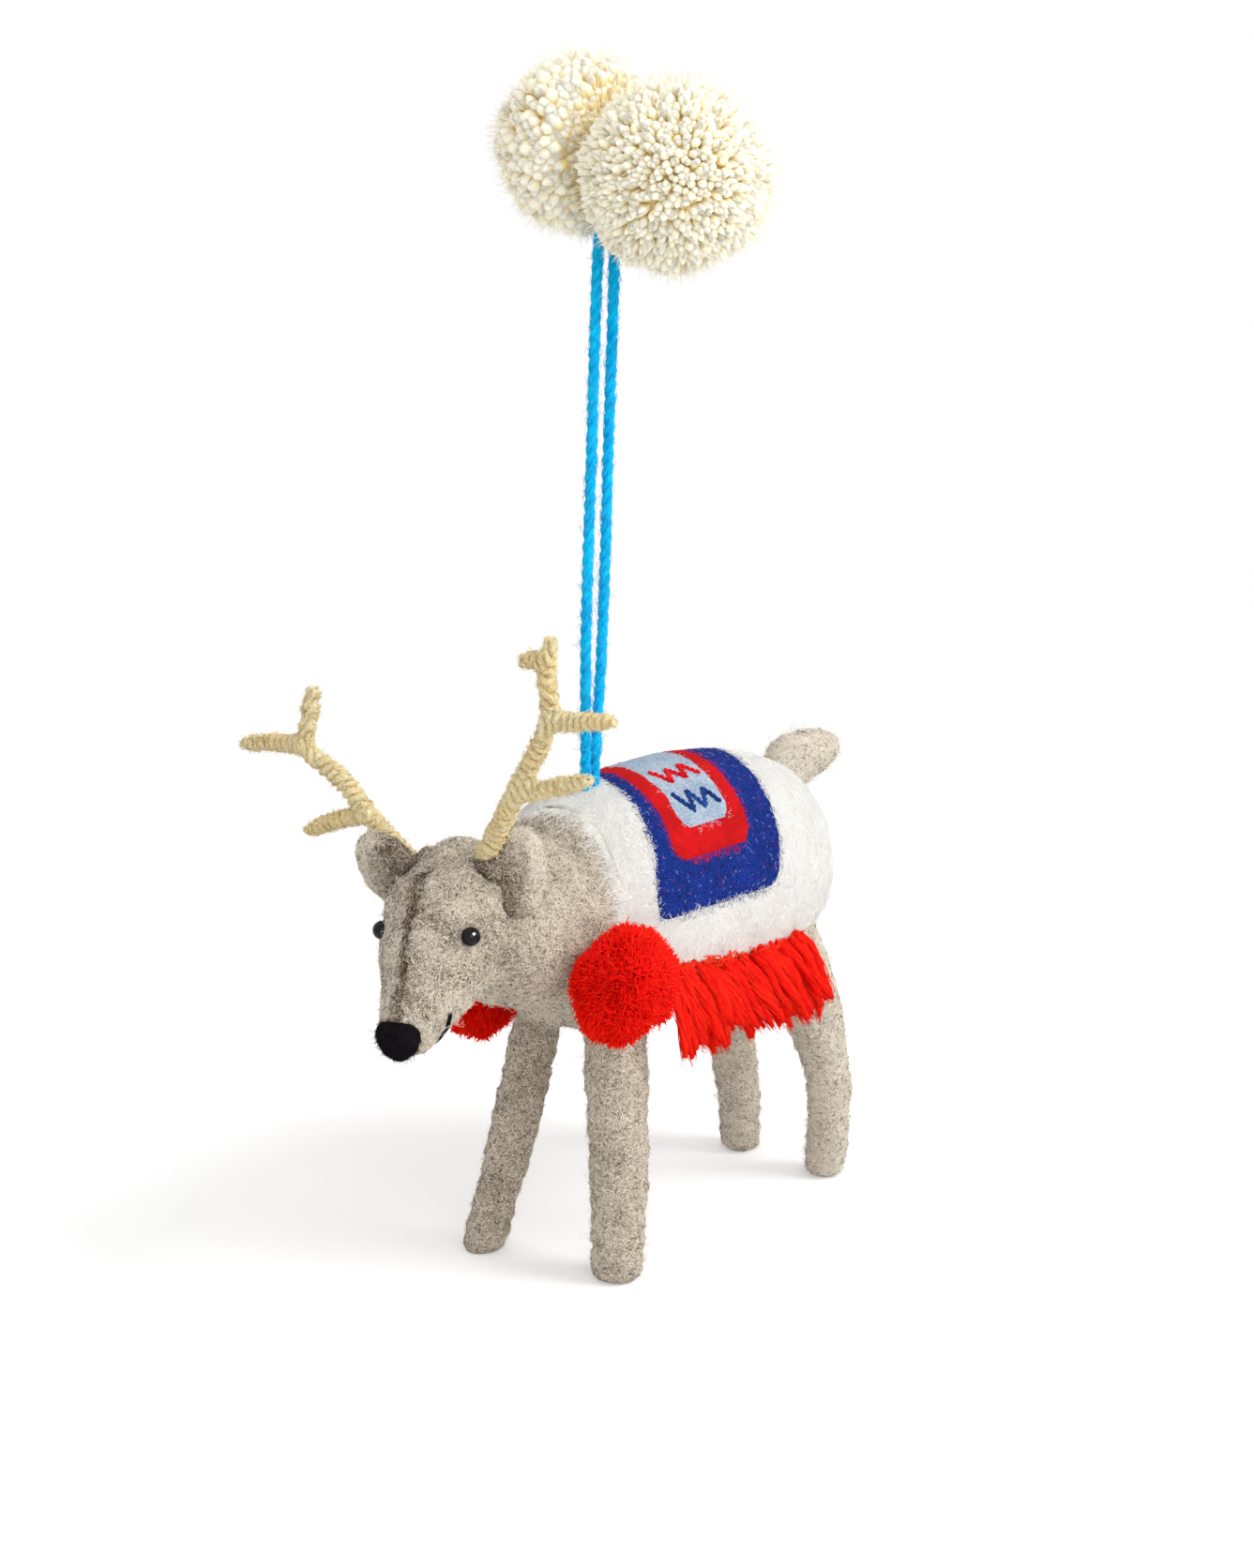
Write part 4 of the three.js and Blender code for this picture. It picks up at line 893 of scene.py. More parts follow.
def uncovered(spots):
    """Spots of the body that the blanket, the nose, the eyes and the floor leave bare."""
    angle, y = torso_angle(spots)
    beside = np.abs(angle) < hem_reach_at(y) - 3
    covered = beside & (y > blanket_front(angle) + 1.5 * MM) & (y < BLANKET_REAR - 2 * MM)
    bare = spots[:, 2] > SOLE_LEVEL + SOLE_CLEAR
    for node, clear in (("nose", NOSE_CLEAR), ("left_eye", EYE_CLEAR), ("right_eye", EYE_CLEAR)):
        bare = bare & (np.linalg.norm(spots - centre(node), axis=1) > clear)
    return ~covered & bare


def heather(name, piece, dense, rng, tone, keep=None):
    """Pale and brown fibres needled into a grey skin, fewer pale and more brown ones where the tone, painted
    shade included, is dark, and a few strays.
    """
    for label, material, share, length, lift, diameter, rings in HEATHER:
        spots, facing = scatter(piece, dense * share, rng, keep)
        # The tone's darkness, painted shade included, sets how many brown and pale fibres grow.
        darkness = np.clip(tone(spots), 0, 1)
        wanted = 0.45 + darkness if label == "brown" else 1 - 1.15 * darkness
        chosen = rng.random(len(spots)) < wanted
        paths = lay_fibres(spots[chosen], facing[chosen], length, lift, rng, rings=rings)
        fuzz(f"{name}_{label}_fuzz", paths, diameter, material, "grey_felt", rng)


def round_feet(places):
    """Points of the legs drawn in near the floor, so that the feet end round."""
    for leg in LEGS:
        corners, _, _ = long_axis(leg)
        sole = corners[corners[:, 2] < SOLE_LEVEL + 0.1 * MM].mean(0)[:2]
        height = np.clip(places[:, 2] - SOLE_LEVEL, 0, FOOT_ROUNDING)
        away = places[:, :2] - sole
        near = (np.linalg.norm(away, axis=1) < FOOT_REACH) & (height < FOOT_ROUNDING)
        short = np.clip(1 - height / FOOT_ROUNDING, 0, 0.98)
        drawn = 1 - FOOT_DRAW * (1 - np.sqrt(1 - short**2))
        places[:, :2] = np.where(near[:, None], sole + away * drawn[:, None], places[:, :2])
    places[:, 2] = np.maximum(places[:, 2], SOLE_LEVEL)
    return places


def make_body():
    rng = np.random.default_rng(21)
    body = skin("felt_body", BODY_NODES, 0.75 * MM, GREY_WOOL, seam=7 * MM)
    places = points(body)
    angle, y = torso_angle(places)
    neck = ease((blanket_front(angle) - y) / (4 * MM)) * (np.abs(angle) < NECK_REACH)
    neck = neck * ease((-(places - HEAD_MIDDLE) @ HEAD_FORWARD - 2 * MM) / (6 * MM))
    waves = np.sin(2 * np.pi * y / NECK_FOLD_PITCH + 0.6 + lumps(places, 9 * MM, 5.1))
    folds = NECK_FOLD_DEPTH * waves * neck
    bumps = 0.42 * MM * lumps(places, 5 * MM, 1.7) + 0.2 * MM * lumps(places, 2 * MM, 8.3)
    rise = places[:, 2] - SOLE_LEVEL
    turns = np.sin(2 * np.pi * rise / LEG_WINDING_PITCH + 3 * lumps(places, 7 * MM, 4.4))
    swell(body, folds + bumps + LEG_WINDING_DEPTH * turns * ease((LEG_HEIGHT - rise) / (8 * MM)))
    reshape(body, round_feet(points(body)))
    store(body, "tone", body_tone_and_shade(points(body)))
    dress(body, "grey_felt", *BODY_NODES)
    heather("body", body, 2.0, rng, body_tone_and_shade, uncovered)
    felted(
        "ridge_fuzz", body, 1.6, 1.8 * MM, 0.2 * MM, 0.12 * MM, BROWN_FIBRE, "grey_felt", rng,
        keep=lambda spots: muzzle_ridge(spots) > 0.3,
        grain=lambda spots: HEAD_FORWARD,
        rings=4,
    )


make_body()


def ear_tone_and_shade(places, node):
    """How dark an ear's wool is: painted shade in the fold on the half next to the head, painted light at its
    outer rim, and soft random blotches.
    """
    corners, _, axes = long_axis(node)
    own = corners @ axes.T
    low, high = own.min(0), own.max(0)
    share = (places @ axes.T - (low + high) / 2) / ((high - low) / 2)
    ahead = share[:, 2] * np.sign(axes[2] @ HEAD_FORWARD)
    inward = share[:, 1] * np.sign(axes[1] @ (HEAD_MIDDLE - centre(node)))
    # Painted shade in the ear's cupped fold next to the head, deepest towards the front.
    deep = ease((inward + 0.45) / 0.8) * (0.45 + 0.55 * ease((ahead + 0.6) / 0.5))
    # Painted light along the ear's outer rim.
    pale = 0.35 * ease((-inward - 0.2) / 0.6)
    return np.clip(0.9 * deep - pale + 0.3 * lumps(places, 2.4 * MM, 2.2), -0.4, 0.9)


def make_ears():
    rng = np.random.default_rng(31)
    for node in ("left_ear", "right_ear"):
        ear = skin(f"{node}_felt", (node,), 0.4 * MM, GREY_WOOL, growth=0.4 * MM, rounds=8)
        swell(ear, 0.2 * MM * lumps(points(ear), 2.5 * MM, 4.1))
        store(ear, "tone", ear_tone_and_shade(points(ear), node))
        dress(ear, "grey_felt", node)
        heather(node, ear, 2.2, rng, lambda spots: ear_tone_and_shade(spots, node))


make_ears()


# Nose, mouth and eyes

EYE_SHARE = 0.94
EYE_SINK = 0.35 * MM
MOUTH_PROUD = 0.2 * MM
MOUTH_WIDEN = 0.25


def settled(places, ground, proud, reach):
    """Points moved as one with those near them, so that they lie on another piece."""
    tree = BVHTree.FromObject(ground, bpy.context.evaluated_depsgraph_get())
    below = np.empty_like(places)
    outward = np.empty_like(places)
    for row, place in enumerate(places):
        spot, normal, _, _ = tree.find_nearest(Vector(place))
        below[row] = spot
        outward[row] = normal
    height = ((places - below) * outward).sum(1)
    moved = np.empty_like(places)
    for row, place in enumerate(places):
        near = np.linalg.norm(places - place, axis=1) < reach
        moved[row] = place + unit(outward[near].mean(0)) * (proud - height[near].mean())
    return moved


def make_nose():
    rng = np.random.default_rng(41)
    nose = skin("nose_felt", ("nose",), 0.4 * MM, BLACK_WOOL, growth=0.1 * MM, rounds=8)
    swell(nose, 0.3 * MM * lumps(points(nose), 2.8 * MM, 6.1))
    places = points(nose)
    own = places - centre("nose")
    above = own @ HEAD_UP
    tall = np.abs(above).max()
    share = np.clip(above / tall, -1, 1)
    narrow = own @ HEAD_LEFT * (0.16 * share - 0.1)
    flat = -0.14 * tall * ease((share - 0.3) / 0.7)
    reshape(nose, places + narrow[:, None] * HEAD_LEFT + flat[:, None] * HEAD_UP)
    dress(nose, "black_felt", "nose")
    felted("nose_fuzz", nose, 7.0, 1.1 * MM, 0.3 * MM, 0.09 * MM, BLACK_FIBRE, "black_felt", rng)


def make_mouth():
    """The stitched mouth line, spread to both sides and laid on the felt."""
    mouth = skin("mouth_thread", ("mouth_stitch",), 0.16 * MM, BLACK_WOOL, growth=-0.05 * MM, rounds=3)
    places = points(mouth)
    own = places - HEAD_MIDDLE
    aside, under = own @ HEAD_LEFT, -own @ HEAD_UP
    turn = MOUTH_WIDEN * np.arctan2(aside, under)
    across = aside * (np.cos(turn) - 1) + under * np.sin(turn)
    down = under * (np.cos(turn) - 1) - aside * np.sin(turn)
    places = places + across[:, None] * HEAD_LEFT - down[:, None] * HEAD_UP
    reshape(mouth, settled(places, bpy.data.objects["felt_body"], MOUTH_PROUD, MM))
    dress(mouth, "black_felt", "mouth_stitch")


def make_eyes():
    bead = bead_material()
    for node in ("left_eye", "right_eye"):
        low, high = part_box(node)
        eye = ball(f"{node}_bead", bead)
        sunk = centre(node) + unit(HEAD_MIDDLE - centre(node)) * EYE_SINK
        reshape(eye, sunk + points(eye) * EYE_SHARE * max(high - low) / 2)
        dress(eye, "bead", node)


make_nose()
make_mouth()
make_eyes()


# Antlers

WINDING_PITCH = 1.5 * MM
WINDING_DEPTH = 0.34 * MM
WINDING_TIGHT = 0.26 * MM
BORE_FILL = 0.17 * MM


def winding(places, nodes):
    """Ridges of wool wound around the nearest beam or tine, and the way that they run."""
    gaps = []
    ridges = []
    ways = []
    for node in nodes:
        corners, middle, axes = long_axis(node)
        half = np.abs((corners - middle) @ axes[0]).max()
        own = (places - middle) @ axes.T
        beyond = np.maximum(np.abs(own[:, 0]) - half, 0)
        gaps.append(np.hypot(np.hypot(own[:, 1], own[:, 2]), beyond))
        wander = 0.35 * lumps(places, 3.2 * MM, 5.9)
        turn = own[:, 0] / WINDING_PITCH + np.arctan2(own[:, 2], own[:, 1]) / (2 * np.pi) + wander
        ridges.append(np.abs(np.sin(np.pi * turn)) * 2 - 1.2)
        ways.append(np.cross(axes[0], own[:, 1:2] * axes[1] + own[:, 2:3] * axes[2]))
    nearest = np.argmin(gaps, axis=0)
    rows = np.arange(len(places))
    return np.array(ridges)[nearest, rows], unit(np.array(ways)[nearest, rows])


def make_antlers():
    rng = np.random.default_rng(51)
    for side, tines in (("left", ("brow", "fork", "spur")), ("right", ("brow", "fork"))):
        nodes = [f"{side}_antler_beam", *(f"{side}_{tine}_tine" for tine in tines)]
        filled = (*nodes, f"{side}_antler_wire")
        name = f"{side}_antler_wool"
        antler = skin(name, filled, 0.27 * MM, ANTLER_WOOL, growth=BORE_FILL, rounds=8, seam=2.5 * MM)
        places = points(antler)
        ridges = winding(places, nodes)[0]
        swell(antler, WINDING_DEPTH * ridges + 0.14 * MM * lumps(places, 3 * MM, 9.4) - WINDING_TIGHT)
        # Tone: painted shade in the grooves between the windings, painted light on their ridges.
        store(antler, "tone", np.clip(-0.9 * ridges - 0.5, -0.25, 0.55))
        dress(antler, "antler_yarn", *nodes)
        for label, material, dense, lift in (
            ("gold", GOLD_FIBRE, 2.4, 0.16 * MM),
            ("tan", TAN_FIBRE, 0.7, 0.07 * MM),
        ):
            name = f"{side}_antler_{label}_fuzz"
            felted(
                name, antler, dense, 1.7 * MM, lift, 0.1 * MM, material, "antler_yarn", rng,
                grain=lambda spots: winding(spots, nodes)[1] * 1.6,
            )


make_antlers()


# Saddle blanket and its panels


def skew(angle):
    return PANEL_SKEW * angle / BLUE_REACH


def rounded(angle, reach):
    """How far a panel's corner is drawn in near its lower edge."""
    left_over = np.clip(PANEL_CORNER - (reach - np.abs(angle)) * DEGREE, 0, PANEL_CORNER)
    return PANEL_CORNER - np.sqrt(PANEL_CORNER**2 - left_over**2)


def blue_edges(angle):
    share = (angle / BLUE_REACH) ** 2
    return BLUE_FRONT - BLUE_FRONT_SWEEP * share - skew(angle), BLUE_REAR - PANEL_TAPER * share - skew(angle)


def red_edges(angle):
    return BLUE_FRONT + RED_MARGIN - skew(angle), blue_edges(angle)[1] - RED_REAR_MARGIN


def light_blue_edges(angle):
    front, rear = red_edges(angle)
    return front + LIGHT_BLUE_MARGIN, rear - LIGHT_BLUE_MARGIN


BLUE_OUTLINE = (blue_edges, BLUE_REACH)
RED_OUTLINE = (red_edges, RED_REACH)
LIGHT_BLUE_OUTLINE = (light_blue_edges, LIGHT_BLUE_REACH)


def edge_gap(y, angle, front, rear, reach):
    """How far inside a sheet's edges a place on the torso is, in metres."""
    return np.minimum(np.minimum(y - front, rear - y), (reach - np.abs(angle)) * DEGREE)


def inside(y, angle, outline):
    """How far inside a panel's outline a place on the torso is, in metres."""
    edges, reach = outline
    front, rear = edges(angle)
    corner = rounded(np.clip(angle, -reach, reach), reach)
    return edge_gap(y, angle, front + corner, rear - corner, reach)


def outside(outline, margin=0.0):
    """Keeps spots that are outside a panel's outline, or inside by less than a margin."""
    def keep(spots):
        angle, y = torso_angle(spots)
        return inside(y, angle, outline) < margin
    return keep


def crown(gap, radius):
    """How full a sheet is at a gap from its edges: nearly 0 there, and 1 from a radius on."""
    return np.sqrt(1 - (1 - np.clip(gap / radius, 0.02, 1)) ** 2)


def felt_height(y, angle):
    """The felt's height off the torso, which rises softly under each panel."""
    height = np.full(np.broadcast(y, angle).shape, BLANKET_HIGH)
    for outline in (BLUE_OUTLINE, RED_OUTLINE, LIGHT_BLUE_OUTLINE):
        height = height + PANEL_RISE * ease((inside(y, angle, outline) + 3 * MM) / (3.6 * MM))
    return height


def felt_sheet(name, y, angle, high, low, material):
    """A thin closed sheet over a grid of places on the torso, between two heights off it."""
    rows, columns = y.shape
    tops = torso_point(y, angle, high).reshape(-1, 3)
    bottoms = torso_point(y, angle, low).reshape(-1, 3)
    index = np.arange(rows * columns).reshape(rows, columns)
    a, b, c, d = index[:-1, :-1], index[:-1, 1:], index[1:, 1:], index[1:, :-1]
    upper = np.stack([a, b, c, d], axis=-1).reshape(-1, 4)
    lower = upper[:, ::-1] + rows * columns
    rim = np.concatenate([index[0], index[1:, -1], index[-1, -2::-1], index[-2:0:-1, 0]])
    following = np.roll(rim, -1)
    sides = np.stack([following, rim, rim + rows * columns, following + rows * columns], axis=-1)
    return build(name, np.concatenate([tops, bottoms]), [upper, lower, sides], material)


def wobble(values, size, amount, seed):
    """A small wander along an edge."""
    return amount * np.array([noise.noise(Vector((value / size, seed, 0.5))) for value in values])


def make_blanket():
    columns, rows = 150, 90
    across = np.linspace(-1, 1, columns)
    share = np.linspace(0, 1, rows)[:, None]
    angle = across * hem_reach(share)
    front = blanket_front(angle) + wobble(across * 40 * MM, 6 * MM, HEM_WANDER, 1.5)
    rear = BLANKET_REAR + wobble(across * 40 * MM, 6 * MM, HEM_WANDER, 6.5)
    y = front + (rear - front) * share
    gap = edge_gap(y, angle, front, rear, hem_reach(share))
    fullness = crown(gap, BLANKET_EDGE) * (0.12 + 0.88 * ease((y - front) / (6 * MM)))
    top = felt_height(y, angle) - 0.5 * MM * ease(inside(y, angle, BLUE_OUTLINE) / (1.2 * MM))
    spots = torso_point(y, angle, top).reshape(-1, 3)
    top = top + (0.16 * MM * lumps(spots, 4 * MM, 2.9)).reshape(y.shape)
    high = BLANKET_LOW + (top - BLANKET_LOW) * fullness
    blanket = felt_sheet("saddle_blanket_felt", y, angle, high, np.full(y.shape, BLANKET_LOW), WHITE_WOOL)
    return dress(blanket, "white_felt", "saddle_blanket")


def make_panel(name, outline, layer, material, seed):
    columns, rows = 110, 60
    edges, reach = outline
    angle = np.linspace(-reach, reach, columns)
    front, rear = edges(angle)
    corner = rounded(angle, reach)
    way = angle * DEGREE
    ragged = wobble(way, 2.2 * MM, 0.35 * MM, seed) + wobble(way, 0.7 * MM, 0.2 * MM, seed + 3)
    front = front + corner + ragged
    rear = rear - corner - ragged[::-1]
    share = np.linspace(0, 1, rows)[:, None]
    y = front + (rear - front) * share
    angle = np.broadcast_to(angle, y.shape)
    fullness = crown(edge_gap(y, angle, front, rear, reach), PANEL_EDGE)
    base = felt_height(y, angle)
    high = base - PANEL_RIM + (PANEL_FULL + PANEL_STEP * layer) * fullness
    panel = felt_sheet(f"{name}_felt", y, angle, high, base - PANEL_DEPTH, material)
    dress(panel, name.replace("panel", "felt"), name)
    return panel


def edge_spots(outline, density, rng):
    """Random places along a panel's outline, as places along Y and degrees."""
    edges, reach = outline
    count = int(4 * reach * DEGREE / MM * density)
    angle = rng.uniform(-reach, reach, count)
    front, rear = edges(angle)
    corner = rounded(angle, reach)
    y = np.where(rng.random(count) < 0.5, front + corner, rear - corner)
    hem = int(2 * (BLUE_REAR - BLUE_FRONT) / MM * density)
    side = np.where(rng.random(hem) < 0.5, -reach, reach)
    front, rear = edges(side)
    return (
        np.concatenate([y, rng.uniform(front + PANEL_CORNER, np.maximum(rear, front) - PANEL_CORNER)]),
        np.concatenate([angle, side]),
    )


def edge_fuzz(name, outline, density, material, slot, rng):
    """Fibres of a panel's wool that are needled across its outline."""
    y, angle = edge_spots(outline, density, rng)
    y = y + rng.normal(0, 0.28 * MM, y.shape)
    angle = angle + rng.normal(0, 0.3 * MM / DEGREE, y.shape)
    height = felt_height(y, angle) + 0.12 * MM
    spots = torso_point(y, angle, height)
    facing = unit(torso_point(y, angle, height + MM) - spots)
    paths = lay_fibres(spots, facing, 1.1 * MM, 0.08 * MM, rng, rings=5)
    fuzz(name, paths, 0.07 * MM, material, slot, rng)


def zigzag(angle, side):
    """The line of a zigzag of thread across a panel, at one angle from the spine."""
    front, rear = light_blue_edges(side * angle)
    y = np.linspace(front + ZIGZAG_INSET, rear - ZIGZAG_INSET, ZIGZAG_TURNS + 1)
    swing = np.where(np.arange(ZIGZAG_TURNS + 1) % 2 == 0, -0.5, 0.5) * ZIGZAG_SWING / DEGREE
    return y, side * (angle + swing)


def make_zigzags():
    rng = np.random.default_rng(61)
    for name, side, colour, angle, material, slot in (
        ("left", 1, "red", RED_ZIGZAG_ANGLE, RED_THREAD, "red_felt"),
        ("left", 1, "navy", NAVY_ZIGZAG_ANGLE, NAVY_THREAD, "navy_thread"),
        ("right", -1, "red", FAR_RED_ZIGZAG_ANGLE, RED_THREAD, "red_felt"),
        ("right", -1, "navy", FAR_NAVY_ZIGZAG_ANGLE, NAVY_THREAD, "navy_thread"),
    ):
        y, turn = zigzag(angle, side)
        way = np.linspace(0, len(y) - 1, 90)
        corners = np.arange(len(y))
        y = np.interp(way, corners, y) + wobble(way, 0.8, 0.4 * MM, angle)
        turn = np.interp(way, corners, turn) + wobble(way, 0.7, 0.5 * MM, angle + 7) / DEGREE
        proud = 0.25 * MM if side > 0 else -0.1 * MM
        route = torso_point(y, turn, felt_height(y, turn) + proud)
        node = f"{name}_{colour}_zigzag"
        thread = yarn(f"{node}_thread", route, ZIGZAG_DIAMETER, material, rng, plies=2, pitch=2 * MM, sides=6)
        dress(thread, slot, node)


def feather_front(rng):
    """Fibres of the blanket that run out onto the neck, past its front edge."""
    angle = rng.uniform(-BLANKET_REACH, BLANKET_REACH, FEATHER_COUNT)
    y = blanket_front(angle) - MM * rng.gamma(1.2, 0.8, FEATHER_COUNT) + 0.9 * MM
    spots = torso_point(y, angle, 0.9 * MM)
    facing = unit(torso_point(y, angle, 2 * MM) - spots)
    spots = settled(spots, bpy.data.objects["felt_body"], 0.15 * MM, 0.01 * MM)
    paths = lay_fibres(spots, facing, 2.4 * MM, 0.15 * MM, rng, np.array([0, 1.0, 0]), rings=4)
    fuzz("feather_fuzz", paths, 0.11 * MM, WHITE_FIBRE, "white_felt", rng)


def make_saddle():
    rng = np.random.default_rng(71)
    blanket = make_blanket()
    blue_panel = make_panel("blue_panel", BLUE_OUTLINE, 0, BLUE_WOOL, 2.5)
    make_panel("red_panel", RED_OUTLINE, 1, RED_WOOL, 12.5)
    make_panel("light_blue_panel", LIGHT_BLUE_OUTLINE, 2, LIGHT_BLUE_WOOL, 22.5)
    make_zigzags()
    bare = outside(BLUE_OUTLINE, 0.5 * MM)
    felted("blanket_fuzz", blanket, 0.9, 2.6 * MM, 0.2 * MM, 0.085 * MM, WHITE_FIBRE, "white_felt", rng, bare)
    feather_front(rng)
    for name, outline, density, material, slot in (
        ("blue_edge_white_fuzz", BLUE_OUTLINE, 5, WHITE_FIBRE, "white_felt"),
        ("blue_edge_fuzz", BLUE_OUTLINE, 4, BLUE_FIBRE, "blue_felt"),
        ("red_edge_fuzz", RED_OUTLINE, 5, RED_FIBRE, "red_felt"),
        ("red_edge_blue_fuzz", RED_OUTLINE, 1.5, BLUE_FIBRE, "blue_felt"),
        ("light_blue_edge_fuzz", LIGHT_BLUE_OUTLINE, 5, LIGHT_BLUE_FIBRE, "light_blue_felt"),
        ("light_blue_edge_red_fuzz", LIGHT_BLUE_OUTLINE, 5, RED_FIBRE, "red_felt"),
    ):
        edge_fuzz(name, outline, density, material, slot, rng)
    for name, density, material, slot in (
        ("blue_panel_pale_fuzz", 0.4, LIGHT_BLUE_FIBRE, "light_blue_felt"),
        ("blue_panel_magenta_fuzz", 0.5, MAGENTA_FIBRE, "red_felt"),
    ):
        thin = 0.06 * MM
        felted(name, blue_panel, density, 0.9 * MM, thin, thin, material, slot, rng, outside(RED_OUTLINE))


make_saddle()


# Fringe


def fringe_paths(front, rng, rings=8):
    """Hanging strands of yarn, in layers, that slant towards the rear and gather in clumps."""
    layers = []
    for layer in range(FRINGE_LAYERS):
        y = np.arange(front, LAST_ROOT, FRINGE_SPACING)
        y = y + rng.normal(0, 0.4 * MM, len(y))
        share = np.clip((y - front) / (FRINGE_REAR - front), 0, 1)
        root_angle = hem_reach_at(y) - 4 + rng.normal(0, 1.8, len(y))
        root = torso_point(y, root_angle, (1.1 + 0.45 * layer) * MM)
        longer = np.interp(share, [0, 0.1, 0.2], [1.2, 1.15, 1])
        length = FRINGE_LENGTH * rng.uniform(0.7, 0.96, len(y)) * longer + MM
        clump = np.sin(2 * np.pi * y / CLUMP_PITCH + 1.3 * layer)
        slant = np.interp(share, [0, 0.25, 0.7, 0.85], [0.1, 0.36, 0.36, 0.12]) - 0.08 * clump
        slant = slant + rng.normal(0, 0.08, len(y))
        flare = FRINGE_FLARE * rng.uniform(0.7, 1.0, len(y)) * (0.8 + 0.07 * layer)
        way = np.linspace(0, 1, rings)
        drop = length[:, None] * way
        phase = rng.random((len(y), 1))
        wave = FRINGE_WAVE * np.sin(2 * np.pi * (way * rng.uniform(0.5, 1.5, (len(y), 1)) + phase))
        path = np.empty((len(y), rings, 3))
        path[..., 0] = root[:, 0:1] + flare[:, None] * np.sqrt(way)
        path[..., 1] = root[:, 1:2] + slant[:, None] * drop + wave * way
        path[..., 2] = root[:, 2:3] - drop * (1 - 0.2 * np.abs(slant[:, None]))
        layers.append(path)
    return np.concatenate(layers)


def make_fringe(side, name, front, seed):
    rng = np.random.default_rng(seed)
    paths = fringe_paths(front, rng)
    paths[..., 0] *= side
    way = np.linspace(0, 1, paths.shape[1])
    profile = np.interp(way, [0, 0.12, 0.8, 0.93, 1], [0.7, 1, 0.95, 0.9, 0.55])
    radii = FRINGE_RADIUS * profile[None] * rng.uniform(0.75, 1.2, (len(paths), 1))
    fringe = build(f"{name}_fringe_yarn", *tubes(paths, radii, 6, rng), FRINGE_YARN)
    dress(fringe, "red_yarn", f"{name}_fringe")
    # The orange copies are part orange fibre and part painted highlight along the strands' edges; the red
    # copies are loose red fibre.
    for material, label, copies in ((ORANGE_FIBRE_AND_HIGHLIGHT, "orange", 7), (RED_FIBRE, "red", 11)):
        many = np.repeat(paths, copies, axis=0)
        turn = rng.uniform(0, 2 * np.pi, (len(many), 1)) + 4 * way[None]
        away = 0.72 * MM * rng.uniform(0.8, 1.3, (len(many), 1)) * profile[None]
        many[..., 0] += away * np.cos(turn)
        many[..., 1] += away * np.sin(turn)
        stretch = rng.uniform(0.85, 1.14, (len(many), 1))
        many[..., 2] = many[:, :1, 2] + (many[..., 2] - many[:, :1, 2]) * stretch
        fuzz(f"{name}_fringe_{label}_fuzz", many, 0.13 * MM, material, "red_yarn", rng)
    y = rng.uniform(front, LAST_ROOT, TOP_HAIRS)
    spots = torso_point(y, side * (hem_reach_at(y) - rng.uniform(0, 7, len(y))), 2.2 * MM)
    facing = unit(spots - torso_point(y, side * hem_reach_at(y), 0 * y))
    tops = lay_fibres(spots, facing, 2.6 * MM, 0.7 * MM, rng, rings=4)
    fuzz(f"{name}_fringe_top_fuzz", tops, 0.3 * MM, ORANGE_FIBRE_AND_HIGHLIGHT, "red_yarn", rng)


make_fringe(1, "left", LEFT_FRINGE_FRONT, 81)
make_fringe(-1, "right", RIGHT_FRINGE_FRONT, 82)


# Pompoms

TIE_DIAMETER = 1.2 * MM
# Share along the yarn given to a pompom's core: the root colour, as painted shade deep between the yarn ends.
CORE_SHARE = 0.35
RED_SQUASH = 0.93
RED_CORE = 0.82
RED_STRANDS = 11000
RED_STRAND_DIAMETER = 0.36 * MM
RED_HAIRS = 1500
CREAM_CORE = 0.8
CREAM_HAIRS = 4500
PRESS_FROM = 3 * MM
PRESS_GAP = 0.7 * MM
PRESS_SOFT = 4 * MM


def rays(count, rng):
    """Directions spread evenly over a ball, each a little off its place."""
    index = np.arange(count) + 0.5
    height = 1 - 2 * index / count
    turn = np.pi * (1 + 5**0.5) * index
    ring = np.sqrt(1 - height**2)
    even = np.stack([ring * np.cos(turn), ring * np.sin(turn), height], axis=1)
    apart = np.sqrt(4 * np.pi / count)
    return unit(even + rng.normal(0, 0.4 * apart, even.shape))


def tuft(middle, halves, count, start, bend, rng, rings, spread, ragged):
    """Paths of cut yarn from near a pompom's middle to its outline, in tufts of uneven length."""
    heading = rays(count, rng)
    uneven = 1 + ragged * lumps(heading * 10 * MM, 4.5 * MM, 3.7)
    sizes = (rng.uniform(*spread, count) * uneven)[:, None, None]
    way = np.linspace(start, 1, rings)[None, :, None]
    aside = np.cross(heading, unit(rng.normal(size=heading.shape)))
    reach = heading[:, None] * way * sizes
    curve = aside[:, None] * bend * (way - start) ** 2 * rng.normal(0, 1, (count, 1, 1))
    return middle + (reach + curve) * halves


def pompom(name, body, slot, paths, thickness, material, rng, sides):
    """Cut yarn along given paths, with rounded ends."""
    rings = paths.shape[1]
    profile = np.interp(np.linspace(0, 1, rings), [0, 0.6, 0.8, 0.92, 1], [0.9, 1, 0.95, 0.78, 0.35])
    radii = thickness / 2 * profile[None] * rng.uniform(0.8, 1.2, (len(paths), 1))
    piece = build(name, *tubes(paths, radii, sides, rng), material)
    store(piece, "along", np.repeat(np.tile(np.linspace(0, 1, rings), len(paths)), sides))
    dress(piece, slot, body=body)


def core(node, middle, halves, material, body, slot):
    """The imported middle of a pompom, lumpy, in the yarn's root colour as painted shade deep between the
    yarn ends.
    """
    piece = ball(f"{node}_core", material)
    places = points(piece)
    ripple = 1 + 0.05 * lumps(places * 10 * MM, 2.5 * MM, 5.5)
    reshape(piece, middle + places * ripple[:, None] * halves)
    store(piece, "along", np.full(len(places), CORE_SHARE))
    return dress(piece, slot, node, body=body)


